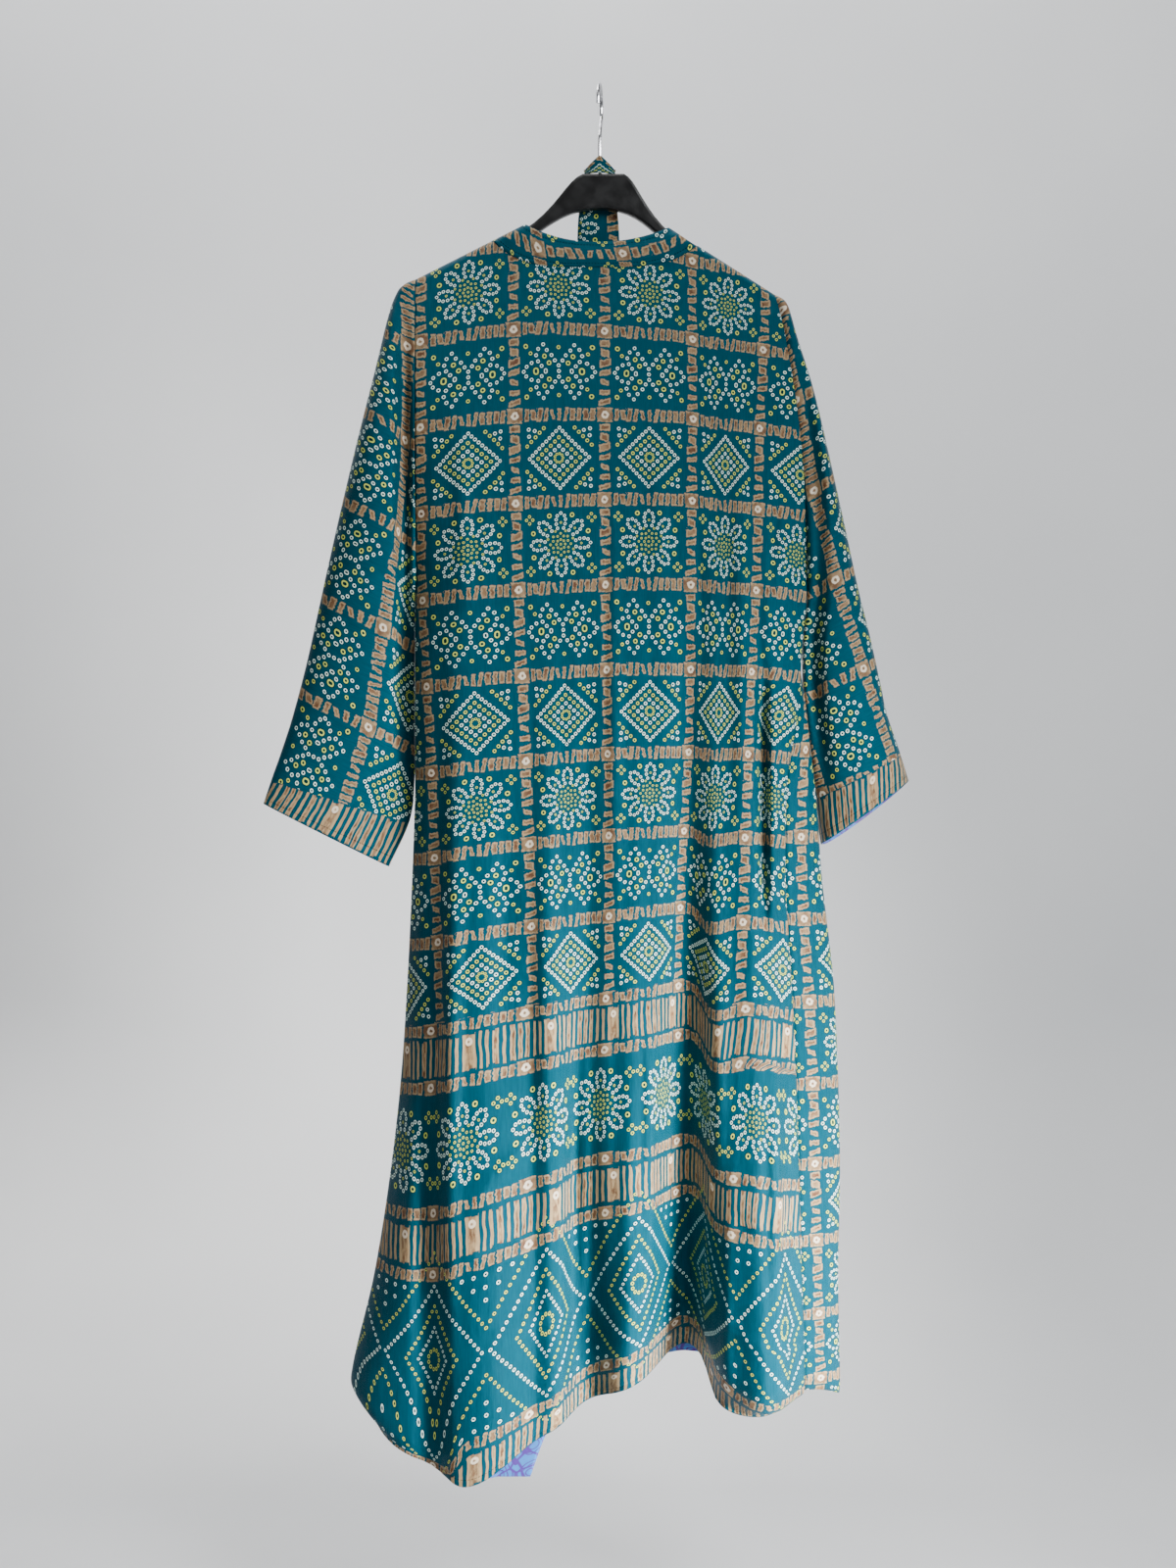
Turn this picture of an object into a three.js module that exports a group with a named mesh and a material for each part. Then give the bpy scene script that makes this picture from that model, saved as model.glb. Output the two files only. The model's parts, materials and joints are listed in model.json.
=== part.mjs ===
import * as THREE from 'three';

// A long kimono robe hung on a flat hanger, in millimetres with +Z up. The inside top of the
// hook is the origin and the back of the garment faces -Y. Heights are written as drops below
// the origin, and the left side is the side of -X.

// Walls and seams
const SHELL_WALL = 1.6;
const BAND_WALL = 2.4;
const LINING_WALL = 1;
const BELT_WALL = 1.2;
const SEAM_GAP = 0.3;
const LINING_GAP = 0.3;

// Cloth lines across the back, each a drop at ten stations. The first column is the distance
// of the line down the cloth from the first printed line below the neck.
const LINES = table(
  [
    'cloth', 'side_left', 'margin', 'lobe_left', 'flank', 'centre',
    'valley', 'fold_left', 'fold_right', 'lobe_right', 'side_right',
  ],
  [
    [-30, 155, 153, 147, 142, 146, 153, 156, 159, 166, 176],
    [0, 185, 183, 177, 172, 176, 183, 186, 189, 196, 206],
    [91, 277, 274, 268, 262, 265, 270, 273, 276, 281, 290],
    [273, 460, 458, 453, 449, 446, 447, 449, 452, 456, 462],
    [546, 737, 735, 729, 722, 716, 714, 714, 717, 716, 721],
    [819, 1013, 1008, 998, 985, 973, 962, 966, 990, 983, 994],
    [1047, 1258, 1265, 1251, 1225, 1197, 1183, 1184, 1212, 1222, 1232],
    [1215, 1389, 1428, 1433, 1400, 1358, 1327, 1332, 1372, 1396, 1388],
    [1262, 1408, 1449, 1476, 1431, 1390, 1355, 1360, 1402, 1413, 1392],
  ],
);
const STATIONS = [0, 0.07, 0.165, 0.33, 0.5, 0.69, 0.735, 0.77, 0.86, 1];
const STATION_NAMES = Object.keys(LINES).filter((name) => name !== 'cloth');
const FIRST_LINE = 0;
const SECOND_LINE = 91;
const HEM_LINE = 1262;
// How far the hem turns in under the garment at each station
const HEM_TUCK = [0, 0, 0, 4, 12, 12, 14, 26, 36, 34];
const HEM_TUCK_START = 1190;

// Edges of the back panel, how far its left edge is drawn out beyond them, and the outermost
// reach of the fronts, by drop
const WIDTHS = table(
  ['drop', 'back_left', 'back_right', 'drawn_left', 'out_left', 'out_right'],
  [
    [224, -197, 187, 0, -189, 181],
    [264, -197, 197, 0, -189, 190],
    [369, -197, 213, 0, -189, 205],
    [454, -197, 220, 0, -189, 212],
    [538, -197, 222, 0, -189, 214],
    [600, -197, 216, 0, -189, 214],
    [685, -197, 211, 0, -189, 222],
    [761, -197, 206, 0, -190, 231],
    [853, -197, 205, 3, -196, 238],
    [958, -200, 211, 5, -201, 250],
    [1063, -205, 216, 7, -208, 255],
    [1168, -210, 219, 14, -219, 257],
    [1273, -212, 222, 29, -235, 255],
    [1378, -212, 225, 53, -258, 257],
    [1490, -212, 225, 62, -262, 258],
  ],
);
const DRAWN_SHARE = 0.13;

// Distance of the cloth from the middle plane of the hanger, by drop
const DEPTHS = table(
  ['drop', 'back', 'front'],
  [
    [150, 8.5, 8.5],
    [190, 9, 9],
    [260, 14, 14],
    [400, 24, 21],
    [600, 34, 31],
    [800, 42, 40],
    [1000, 50, 48],
    [1200, 57, 54],
    [1490, 62, 58],
  ],
);
const SIDE_ROUND = 0.14;

// Depth of the side seams below the underarm, by drop
const SIDE_SEAMS = table(
  ['drop', 'left', 'right'],
  [
    [530, 0.95, 0.95],
    [640, 6, 8],
    [760, 8, 20],
    [1000, 8, 26],
    [1490, 8, 30],
  ],
);
// The back panel's right edge is folded under on itself below the hip
const RIGHT_TURN = { reach: 8, share: 0.025, start: 640, full: 760 };

// Half opening of the armhole between back and front, by share of its length
const ARMHOLE = table(
  ['share', 'half_gap'],
  [
    [0, 8],
    [0.1, 11],
    [0.35, 14],
    [0.65, 11],
    [0.85, 6],
    [1, 0.95],
  ],
);

// Folds of the back. Depth is positive for a valley and negative for a ridge.
const BACK_FOLDS = [
  fold('main_valley', { top: 94, hem: 88, start: 470, depth: 86, widthTop: 24, widthHem: 48 }),
  fold('centre_valley', { top: -12, hem: -14, start: 560, depth: 24, widthTop: 14, widthHem: 32 }),
  fold('centre_ridge', { top: 40, hem: 30, start: 420, depth: -14, widthTop: 16, widthHem: 26 }),
  fold('left_ridge', { top: -56, hem: -46, start: 420, depth: -12, widthTop: 18, widthHem: 26 }),
  fold('left_lobe', { top: -120, hem: -112, start: 620, depth: -24, widthTop: 50, widthHem: 86 }),
  fold('right_lobe', { top: 158, hem: 176, start: 600, depth: -24, widthTop: 34, widthHem: 50 }),
  fold('left_valley', { top: -168, hem: -176, start: 300, depth: 10, widthTop: 14, widthHem: 26 }),
];
// The short pleat at the right hip
const HIP_PLEAT = { x: 174, halfWidth: 9, depth: 16, top: 590, full: 700, fade: 830, end: 930 };

// Folds of the two fronts
const FRONT_FOLDS = [
  fold('left_outer', { top: -150, hem: -176, start: 420, depth: 16, widthTop: 26, widthHem: 44 }),
  fold('left_inner', { top: -90, hem: -120, start: 520, depth: -12, widthTop: 24, widthHem: 40 }),
  fold('right_inner', { top: 70, hem: 58, start: 460, depth: -26, widthTop: 20, widthHem: 40 }),
  fold('right_outer', { top: 138, hem: 150, start: 520, depth: 26, widthTop: 22, widthHem: 42 }),
];

// Rows down the body as shares of the cloth, closest where it turns over the hanger
const ROWS = [
  0, 0.0012, 0.0035, 0.0075, 0.018, 0.04, 0.075, 0.115, 0.16, 0.205, 0.258, 0.3, 0.35, 0.41,
  0.47, 0.53, 0.59, 0.65, 0.71, 0.77, 0.83, 0.88, 0.925, 0.96, 0.983, 1,
];
const UNDERARM_ROW = 10;

// Columns across the back as shares of its width, with the two neck corners among them
const NECK_LEFT = 7;
const NECK_RIGHT = 26;
const COLUMNS = [
  0, 0.025, 0.05, 0.08, 0.12, 0.16, 0.19, 0.2122, 0.2153, 0.2227, 0.237, 0.27, 0.31, 0.345,
  0.38, 0.415, 0.45, 0.485, 0.52, 0.555, 0.59, 0.625, 0.66, 0.7, 0.735, 0.7765, 0.7865, 0.81,
  0.84, 0.865, 0.89, 0.915, 0.94, 0.965, 0.985, 1,
];

// Shoulder lines: drop at a point of the line and its slope outwards
const SHOULDER_LEFT = { x: -118, drop: 168, slope: 0.505 };
const SHOULDER_RIGHT = { x: 105, drop: 172, slope: 0.637 };
const HANG_RADIUS = 8;
const RIDGE_HALF_GAP = 0.4;

// Neck seam and free edge of the band at the back neck, as drops of two flat bows
const NECK_SEAM = { middle: -5.5, half: 110, low: 196, power: 4 };
const NECK_EDGE = { middle: -3, half: 78, low: 169, power: 2.2 };

// Free edges of the band down the fronts, by drop
const FRONT_EDGES = table(
  ['drop', 'left', 'right'],
  [
    [150, -81, 75],
    [200, -73, 67],
    [300, -51, 46],
    [400, -29, 24],
    [490, -12, 3],
    [600, -10, 0],
    [900, -24, -13],
    [1200, -26, -32],
    [1360, -16, -44],
    [1408, -24, -46],
    [1456, -56, -48],
    [1508, -76, -49],
  ],
);
const BAND_WIDTH = 33;
const BAND_SLANT = table(
  ['share', 'extra'],
  [
    [0, 0],
    [0.1, -9],
    [0.2, -12],
    [0.3, -18],
    [1, -18],
  ],
);
const BAND_COLUMNS = 2;
const FRONT_HEM = { left: 1508, right: 1364 };
// The left front laps over the right one below its start, each by this far from the middle
const LAP = { reach: 3.5, start: 960, full: 1120 };

// Fronts: drop added at the hem midway across and at its outermost point, how far the side
// rounds over to the flat front, and columns as shares of the width
const FRONT_SAG = { left: 34, right: -10 };
const FRONT_TIP = { left: 0, right: 11 };
const FRONT_ROUND = 15;
const FRONT_COLUMNS = [0, 0.06, 0.12, 0.18, 0.25, 0.33, 0.42, 0.51, 0.6, 0.7, 0.8, 0.9, 1];
const FRONT_KNOTS = [0, 0.09, 0.2, 0.34, 0.55, 1];

// The hem's left corner is curled in under the garment
const CURL = { start: 1196, share: 0.16, centreX: -130, centreY: 8, backShare: 0.085, frontShare: 0.6 };

// Sleeves, a row for each section from the shoulder to the cuff. Reach is measured outwards
// from the middle plane, and valley is the fold along the armhole.
const LEFT_SLEEVE = table(
  ['inner_drop', 'inner', 'outer', 'outer_drop', 'half_depth', 'centre', 'valley', 'far'],
  [
    [207, 197, 203, 210, 1, 0, 0, 0],
    [212, 197, 210, 215, 6, 0, 0, 0],
    [220, 197, 216, 221, 9, 0, 1, 0],
    [245, 197, 225, 244, 12, 0, 5, 0],
    [300, 197, 240, 305, 18, 0, 11, 0],
    [380, 197, 259, 380, 23, 0, 15, 0],
    [460, 197, 277, 455, 25, 0, 16, 0],
    [530, 197, 292, 520, 25, 2, 12, 0],
    [575, 200, 302, 562, 24, 8, 7, 0],
    [640, 202, 316, 622, 22, 12, 3, 0],
    [700, 202, 331, 678, 20, 12, 0, 0],
    [740, 202, 342, 712, 18, 12, 0, 0],
    [785, 206, 352, 741, 15, 10, 0, 0],
    [836, 227, 361, 769, 11, 8, 0, 2],
  ],
);
const RIGHT_SLEEVE = table(
  ['inner_drop', 'inner', 'outer', 'outer_drop', 'half_depth', 'centre', 'valley', 'far'],
  [
    [224, 187, 193, 227, 1, 0, 0, 0],
    [230, 188, 199, 233, 6, 0, 0, 0],
    [238, 190, 203, 242, 9, 0, 1, 0],
    [262, 196, 210, 266, 12, 0, 4, 0],
    [315, 205, 226, 318, 17, 0, 8, 0],
    [390, 215, 244, 393, 20, 0, 9, 0],
    [465, 220, 261, 468, 22, 0, 9, 0],
    [540, 222, 277, 540, 24, 3, 8, 0],
    [590, 224, 289, 583, 26, 12, 5, 0],
    [650, 228, 302, 635, 28, 22, 2, 0],
    [700, 232, 311, 672, 30, 29, 0, 0],
    [750, 236, 323, 706, 32, 33, 0, 2],
    [785, 239, 331, 731, 34, 34, 0, 6],
    [812, 241, 335, 744, 35, 34, 0, 10],
  ],
);
const SLEEVE_HALF_COLUMNS = 10;
const SLEEVE_LOWER_ROWS = [0.1, 0.22, 0.36, 0.5, 0.64, 0.78, 0.9, 1];
const SLEEVE_VALLEY = { middle: 12, halfWidth: 13 };

// Linings that show: inside the left front at the hem and inside the right cuff
const LINING_FRONT = { rows: 5, firstColumn: 10 };
const LINING_CUFF_ROWS = 3;

// Belt hung over the hanger, both ends on the far side
const BELT = { width: 45, middle: -1.5, tailShort: 1052, tailLong: 1098, near: 8.6, far: 11.4 };
const BELT_LOOP = { top: 76, foot: 94.1, reach: 16, radius: 5, overTop: 90.4, fan: 128 };

// Hanger
const HANGER_DEPTH = 12;
const HANGER_BEVEL = 3;
const HANGER_CLEARANCE = 5.4;
const HANGER_ARM = 19;
const HANGER_TIPS = { left: -191, right: 179 };
const HANGER_NECK = { top: 94.5, left: -18, right: 26 };

// Hook
const WIRE = 4;
const HOOK_RADIUS = 20;
const HOOK_STOPS = [-52, -25, 0, 25, 50, 75, 100, 125, 150, 175, 192];
const HOOK_TURN = THREE.MathUtils.degToRad(5);
const HOOK_STEM_FOOT = 94;
const HOOK_STEPS = 44;

/** Columns of numbers by name, from rows. */
function table(names, rows) {
  return Object.fromEntries(names.map((name, k) => [name, rows.map((row) => row[k])]));
}

/** One fold with its place at the top and hem and its growth down the cloth. */
function fold(name, sizes) {
  return { name, ...sizes };
}

function lerp(a, b, share) {
  return a + (b - a) * share;
}

function clamp(value, low, high) {
  return Math.min(high, Math.max(low, value));
}

/** Smooth step from 0 to 1 between two values. */
function rise(value, from, to) {
  const f = clamp((value - from) / (to - from), 0, 1);
  return f * f * (3 - 2 * f);
}

/** Round bump of height 1 that ends at a distance of 1. */
function bump(distance) {
  return Math.abs(distance) < 1 ? (1 + Math.cos(Math.PI * distance)) / 2 : 0;
}

/** Smooth curve through values at places, read at any place. */
function track(places, values, at) {
  const last = places.length - 1;
  const here = clamp(at, places[0], places[last]);
  let k = 0;
  while (k < last - 1 && here > places[k + 1]) {
    k += 1;
  }
  const slope = (i) => {
    const before = Math.max(0, i - 1);
    const after = Math.min(last, i + 1);
    return (values[after] - values[before]) / (places[after] - places[before]);
  };
  const span = places[k + 1] - places[k];
  const f = (here - places[k]) / span;
  const rest = 1 - f;
  const start = rest * rest * (1 + 2 * f) * values[k] + rest * rest * f * span * slope(k);
  const end = f * f * (3 - 2 * f) * values[k + 1] - f * f * rest * span * slope(k + 1);
  return start + end;
}

/** Drop of a cloth line at a share of the back's width. */
function lineDrop(across, cloth) {
  const drops = LINES.cloth.map((_, row) => (
    track(STATIONS, STATION_NAMES.map((name) => LINES[name][row]), across)
  ));
  return track(LINES.cloth, drops, cloth);
}

function shoulderDrop(x) {
  if (x < NECK_SEAM.middle) {
    return SHOULDER_LEFT.drop - (x - SHOULDER_LEFT.x) * SHOULDER_LEFT.slope;
  }
  return SHOULDER_RIGHT.drop + (x - SHOULDER_RIGHT.x) * SHOULDER_RIGHT.slope;
}

/** How far the cloth has turned from the shoulder ridge to its full depth. */
function overHanger(x, drop) {
  const below = clamp((drop - shoulderDrop(x)) / HANG_RADIUS, 0, 1);
  return Math.sqrt(1 - (1 - below) ** 2);
}

function bow(shape, x, ends) {
  const away = Math.abs((x - shape.middle) / shape.half) ** shape.power;
  return shape.low - (shape.low - ends) * Math.min(1, away);
}

function columnX(across) {
  return lerp(WIDTHS.back_left[0], WIDTHS.back_right[0], across);
}

const CORNER_LEFT = columnX(COLUMNS[NECK_LEFT]);
const CORNER_RIGHT = columnX(COLUMNS[NECK_RIGHT]);

function neckSeamDrop(x) {
  const ends = shoulderDrop(x < NECK_SEAM.middle ? CORNER_LEFT : CORNER_RIGHT);
  const half = x < NECK_SEAM.middle ? NECK_SEAM.middle - CORNER_LEFT : CORNER_RIGHT - NECK_SEAM.middle;
  return bow({ ...NECK_SEAM, half }, x, ends);
}

function neckEdgeDrop(x) {
  const end = x < NECK_EDGE.middle ? FRONT_EDGES.left[0] : FRONT_EDGES.right[0];
  return bow({ ...NECK_EDGE, half: Math.abs(end - NECK_EDGE.middle) }, x, shoulderDrop(end));
}

/** Upper boundary of the back panel: shoulder, neck seam, shoulder. */
function backTopDrop(x) {
  return x > CORNER_LEFT && x < CORNER_RIGHT ? neckSeamDrop(x) : shoulderDrop(x);
}

function foldDepth(folds, x, drop, hemDrop) {
  return folds.reduce((sum, one) => {
    const down = clamp((drop - one.start) / (hemDrop - one.start), 0, 1);
    const growth = down * (0.35 + 0.65 * down);
    const middle = lerp(one.top, one.hem, down);
    const halfWidth = lerp(one.widthTop, one.widthHem, down);
    return sum + one.depth * growth * bump((x - middle) / halfWidth);
  }, 0);
}

function hipPleatDepth(x, drop) {
  const { top, full, fade, end } = HIP_PLEAT;
  const here = rise(drop, top, full) * (1 - rise(drop, fade, end));
  return HIP_PLEAT.depth * here * bump((x - HIP_PLEAT.x) / HIP_PLEAT.halfWidth);
}

/** Draws the hem's left corner in under the garment. */
function curled(point, cloth, weight) {
  const share = CURL.share * weight * rise(cloth, CURL.start, HEM_LINE) ** 1.5;
  const x = lerp(point.x, CURL.centreX, share);
  const y = lerp(point.y, CURL.centreY, share);
  return new THREE.Vector3(x, y, point.z);
}

/** Depth of the back panel at one of its side edges. */
function sideDepth(side, drop) {
  const name = side < 0 ? 'left' : 'right';
  const top = shoulderDrop(side < 0 ? WIDTHS.back_left[0] : WIDTHS.back_right[0]);
  const underarm = UNDERARM[name];
  if (drop < underarm) {
    return track(ARMHOLE.share, ARMHOLE.half_gap, (drop - top) / (underarm - top));
  }
  return track(SIDE_SEAMS.drop, SIDE_SEAMS[name], drop);
}

function backDrop(across, down) {
  const topX = columnX(across);
  const topDrop = backTopDrop(topX);
  const first = lineDrop(across, FIRST_LINE);
  const scale = (SECOND_LINE - FIRST_LINE) / (lineDrop(across, SECOND_LINE) - first);
  const topLine = (topDrop - first) * scale;
  const cloth = lerp(topLine, HEM_LINE, down);
  const trim = (topDrop - lineDrop(across, topLine)) * (1 - down) ** 8;
  return { cloth, drop: lineDrop(across, cloth) + trim };
}

const UNDERARM = {
  left: backDrop(0, ROWS[UNDERARM_ROW]).drop,
  right: backDrop(1, ROWS[UNDERARM_ROW]).drop,
};

/** A point in the middle of the back panel's cloth. */
function backPoint(across, down) {
  const { cloth, drop } = backDrop(across, down);
  const left = track(WIDTHS.drop, WIDTHS.back_left, drop);
  const right = track(WIDTHS.drop, WIDTHS.back_right, drop);
  const turn = rise(across, 1 - RIGHT_TURN.share, 1) * rise(drop, RIGHT_TURN.start, RIGHT_TURN.full);
  const drawn = track(WIDTHS.drop, WIDTHS.drawn_left, drop) * (1 - rise(across, 0, DRAWN_SHARE));
  const x = lerp(left, right, across) - RIGHT_TURN.reach * turn - drawn;
  const side = across < 0.5 ? -1 : 1;
  const near = clamp(Math.min(across, 1 - across) / SIDE_ROUND, 0, 1);
  const plateau = 1 - (1 - near) ** 2;
  const full = track(DEPTHS.drop, DEPTHS.back, drop);
  const depth = lerp(sideDepth(side, drop), full, plateau) * overHanger(x, drop);
  const calm = rise(near, 0, 0.6);
  const hemDrop = LINES.centre[LINES.centre.length - 1];
  const folds = foldDepth(BACK_FOLDS, x, drop, hemDrop) + hipPleatDepth(x, drop);
  const tuck = track(STATIONS, HEM_TUCK, across) * rise(cloth, HEM_TUCK_START, HEM_LINE);
  const y = -Math.max(RIDGE_HALF_GAP, depth) + folds * calm + tuck;
  const corner = 1 - rise(across, 0, CURL.backShare);
  return curled(new THREE.Vector3(x, y, -drop), cloth, corner);
}

/** Seam between a front and its band, at a share of the way down. */
function bandSeam(side, down) {
  const free = bandEdge(side, down);
  const corner = side < 0 ? CORNER_LEFT : CORNER_RIGHT;
  const end = side < 0 ? FRONT_EDGES.left[0] : FRONT_EDGES.right[0];
  const settle = rise(down, 0, 0.12);
  const width = lerp(Math.abs(corner - end), BAND_WIDTH, settle);
  const slant = shoulderDrop(corner) - shoulderDrop(end) + track(BAND_SLANT.share, BAND_SLANT.extra, down);
  return { x: free.x + side * width, drop: free.drop + Math.max(0, slant) };
}

/** Free edge of the band on a front, at a share of the way down. */
function bandEdge(side, down) {
  const name = side < 0 ? 'left' : 'right';
  const top = shoulderDrop(FRONT_EDGES[name][0]);
  const drop = lerp(top, FRONT_HEM[name], down);
  return { x: track(FRONT_EDGES.drop, FRONT_EDGES[name], drop), drop };
}

/** Depth of a side's flat front at a place. */
function frontDepth(side, x, drop) {
  const full = track(DEPTHS.drop, DEPTHS.front, drop);
  const lap = side * LAP.reach * rise(drop, LAP.start, LAP.full);
  return Math.max(RIDGE_HALF_GAP, full * overHanger(x, drop)) - lap;
}

/** A point in the middle of a front panel's cloth, from the side seam to the band. */
function frontPoint(side, across, down) {
  const seam = backPoint(side < 0 ? 0 : 1, down);
  const name = side < 0 ? 'left' : 'right';
  const seamDrop = -seam.z;
  const open = down <= ROWS[UNDERARM_ROW] ? Math.abs(seam.y) : seam.y;
  const edge = bandSeam(side, down);
  const hemDrop = FRONT_HEM[name];
  const out = track(WIDTHS.drop, WIDTHS[`out_${name}`], seamDrop);
  const flat = frontDepth(side, seam.x, seamDrop);
  const reachX = lerp(seam.x, edge.x, 0.08 + 0.1 * (1 - rise(down, 0, 0.2)));
  const outX = down < ROWS[UNDERARM_ROW] ? reachX : out;
  const blendOut = rise(down, ROWS[UNDERARM_ROW] - 0.02, ROWS[UNDERARM_ROW] + 0.12);
  const bulge = lerp(reachX, outX, blendOut);
  const inner = side * -1;
  const rounded = bulge + inner * FRONT_ROUND * rise(down, 0, 0.2) + (edge.x - bulge) * 0.06;
  const xs = [seam.x, lerp(seam.x, bulge, 0.75), bulge, rounded, lerp(bulge, edge.x, 0.4), edge.x];
  const edgeY = frontDepth(side, edge.x, edge.drop);
  const ys = [open, lerp(open, flat, 0.22), lerp(open, flat, 0.5), lerp(open, flat, 0.88), flat, edgeY];
  const x = track(FRONT_KNOTS, xs, across);
  const spread = clamp((x - seam.x) / (edge.x - seam.x), 0, 1);
  const sag = FRONT_SAG[name] * Math.sin(Math.PI * spread) * rise(down, 0.5, 1);
  const tip = FRONT_TIP[name] * bump((across - FRONT_KNOTS[2]) / FRONT_KNOTS[2]) * rise(down, 0.8, 1);
  const drop = lerp(seamDrop, edge.drop, spread) + sag + tip;
  const calm = rise(across, 0.15, 0.4) * (1 - rise(across, 0.85, 1));
  const folds = foldDepth(FRONT_FOLDS, x, drop, hemDrop) * calm;
  const level = track(FRONT_KNOTS, ys, across) + folds;
  const ridge = down === 0 ? RIDGE_HALF_GAP : level;
  if (side > 0) {
    return new THREE.Vector3(x, ridge, -drop);
  }
  const corner = 1 - rise(across, 0.25, CURL.frontShare);
  const cloth = HEM_LINE * down;
  return across === 0
    ? new THREE.Vector3(seam.x, open, seam.z)
    : curled(new THREE.Vector3(x, ridge, -drop), cloth, corner);
}

/** A grid of points with the outward direction of the cloth at each of them. */
class Sheet {
  constructor(columns, rows, facing, place) {
    this.columns = columns;
    this.rows = rows;
    this.facing = facing;
    this.points = [];
    for (let j = 0; j <= rows; j += 1) {
      for (let i = 0; i <= columns; i += 1) {
        this.points.push(place(i, j));
      }
    }
    const across = columns + 1;
    this.normals = this.points.map((_, k) => this.normalAt(k % across, Math.floor(k / across)));
  }

  index(i, j) {
    return j * (this.columns + 1) + i;
  }

  point(i, j) {
    return this.points[this.index(i, j)];
  }

  normalAt(i, j) {
    const before = this.point(Math.max(0, i - 1), j);
    const after = this.point(Math.min(this.columns, i + 1), j);
    const above = this.point(i, Math.max(0, j - 1));
    const below = this.point(i, Math.min(this.rows, j + 1));
    const across = after.clone().sub(before);
    const down = below.clone().sub(above);
    return across.cross(down).normalize().multiplyScalar(this.facing);
  }

  normal(i, j) {
    return this.normals[this.index(i, j)];
  }

  /** Moves an edge point back from a seam, in the plane of the seam's two end faces. */
  pull(i, j, inI, inJ) {
    const point = this.point(i, j);
    const inside = this.point(inI, inJ).clone().sub(point);
    inside.addScaledVector(this.normal(i, j), -inside.dot(this.normal(i, j)));
    point.addScaledVector(inside.normalize(), SEAM_GAP / 2);
  }

  /** Cloth of some of the sheet's rows and columns, moved in from its outer side. */
  layer(fromI, toI, fromJ, toJ, distance) {
    return new Sheet(toI - fromI, toJ - fromJ, this.facing, (i, j) => {
      const k = this.index(fromI + i, fromJ + j);
      return this.points[k].clone().addScaledVector(this.normals[k], -distance);
    });
  }

  /** Closed wall of one thickness round the sheet's points. */
  wall(thickness) {
    const outer = this.points.map((p, k) => p.clone().addScaledVector(this.normals[k], thickness / 2));
    const inner = this.points.map((p, k) => p.clone().addScaledVector(this.normals[k], -thickness / 2));
    const count = this.points.length;
    const faces = [];
    for (let j = 0; j < this.rows; j += 1) {
      for (let i = 0; i < this.columns; i += 1) {
        const a = this.index(i, j);
        const b = this.index(i + 1, j);
        const c = this.index(i + 1, j + 1);
        const d = this.index(i, j + 1);
        faces.push([a, b, c], [a, c, d]);
        faces.push([count + a, count + c, count + b], [count + a, count + d, count + c]);
      }
    }
    const rim = this.rim();
    rim.forEach((a, k) => {
      const b = rim[(k + 1) % rim.length];
      faces.push([b, a, count + a], [b, count + a, count + b]);
    });
    const turned = this.facing < 0 ? faces.map(([a, b, c]) => [a, c, b]) : faces;
    const positions = [...outer, ...inner].flatMap((p) => [p.x, p.y, p.z]);
    const geometry = new THREE.BufferGeometry();
    geometry.setAttribute('position', new THREE.Float32BufferAttribute(positions, 3));
    geometry.setIndex(turned.flat());
    geometry.computeVertexNormals();
    return geometry;
  }

  /** Indices of the edge points in order round the sheet. */
  rim() {
    const ring = [];
    for (let i = 0; i < this.columns; i += 1) {
      ring.push(this.index(i, 0));
    }
    for (let j = 0; j < this.rows; j += 1) {
      ring.push(this.index(this.columns, j));
    }
    for (let i = this.columns; i > 0; i -= 1) {
      ring.push(this.index(i, this.rows));
    }
    for (let j = this.rows; j > 0; j -= 1) {
      ring.push(this.index(0, j));
    }
    return ring;
  }
}

/** Gives two sheets one wall direction along their seam and parts them by the gap. */
function sew(a, b, pairs) {
  pairs.forEach(({ atA, atB }) => {
    const shared = a.normal(...atA).clone().add(b.normal(...atB)).normalize();
    a.normal(...atA).copy(shared);
    b.normal(...atB).copy(shared);
  });
  pairs.forEach(({ atA, inA, atB, inB }) => {
    a.pull(...atA, ...inA);
    b.pull(...atB, ...inB);
  });
}

function range(from, to) {
  return Array.from({ length: to - from + 1 }, (_, k) => from + k);
}

function backSheet() {
  const columns = COLUMNS.length - 1;
  const rows = ROWS.length - 1;
  return new Sheet(columns, rows, -1, (i, j) => backPoint(COLUMNS[i], ROWS[j]));
}

function frontSheet(side) {
  const columns = FRONT_COLUMNS.length - 1;
  const rows = ROWS.length - 1;
  return new Sheet(columns, rows, -side, (i, j) => frontPoint(side, FRONT_COLUMNS[i], ROWS[j]));
}

/** One section of a sleeve: its inner and outer edges and its depths, by inner drop. */
function sleeveSection(side, innerDrop) {
  const shape = side < 0 ? LEFT_SLEEVE : RIGHT_SLEEVE;
  const read = (name) => track(shape.inner_drop, shape[name], innerDrop);
  return {
    inner: side * read('inner'),
    outer: side * read('outer'),
    outerDrop: read('outer_drop'),
    halfDepth: read('half_depth'),
    centre: read('centre'),
    valley: read('valley'),
    far: read('far'),
  };
}

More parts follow.
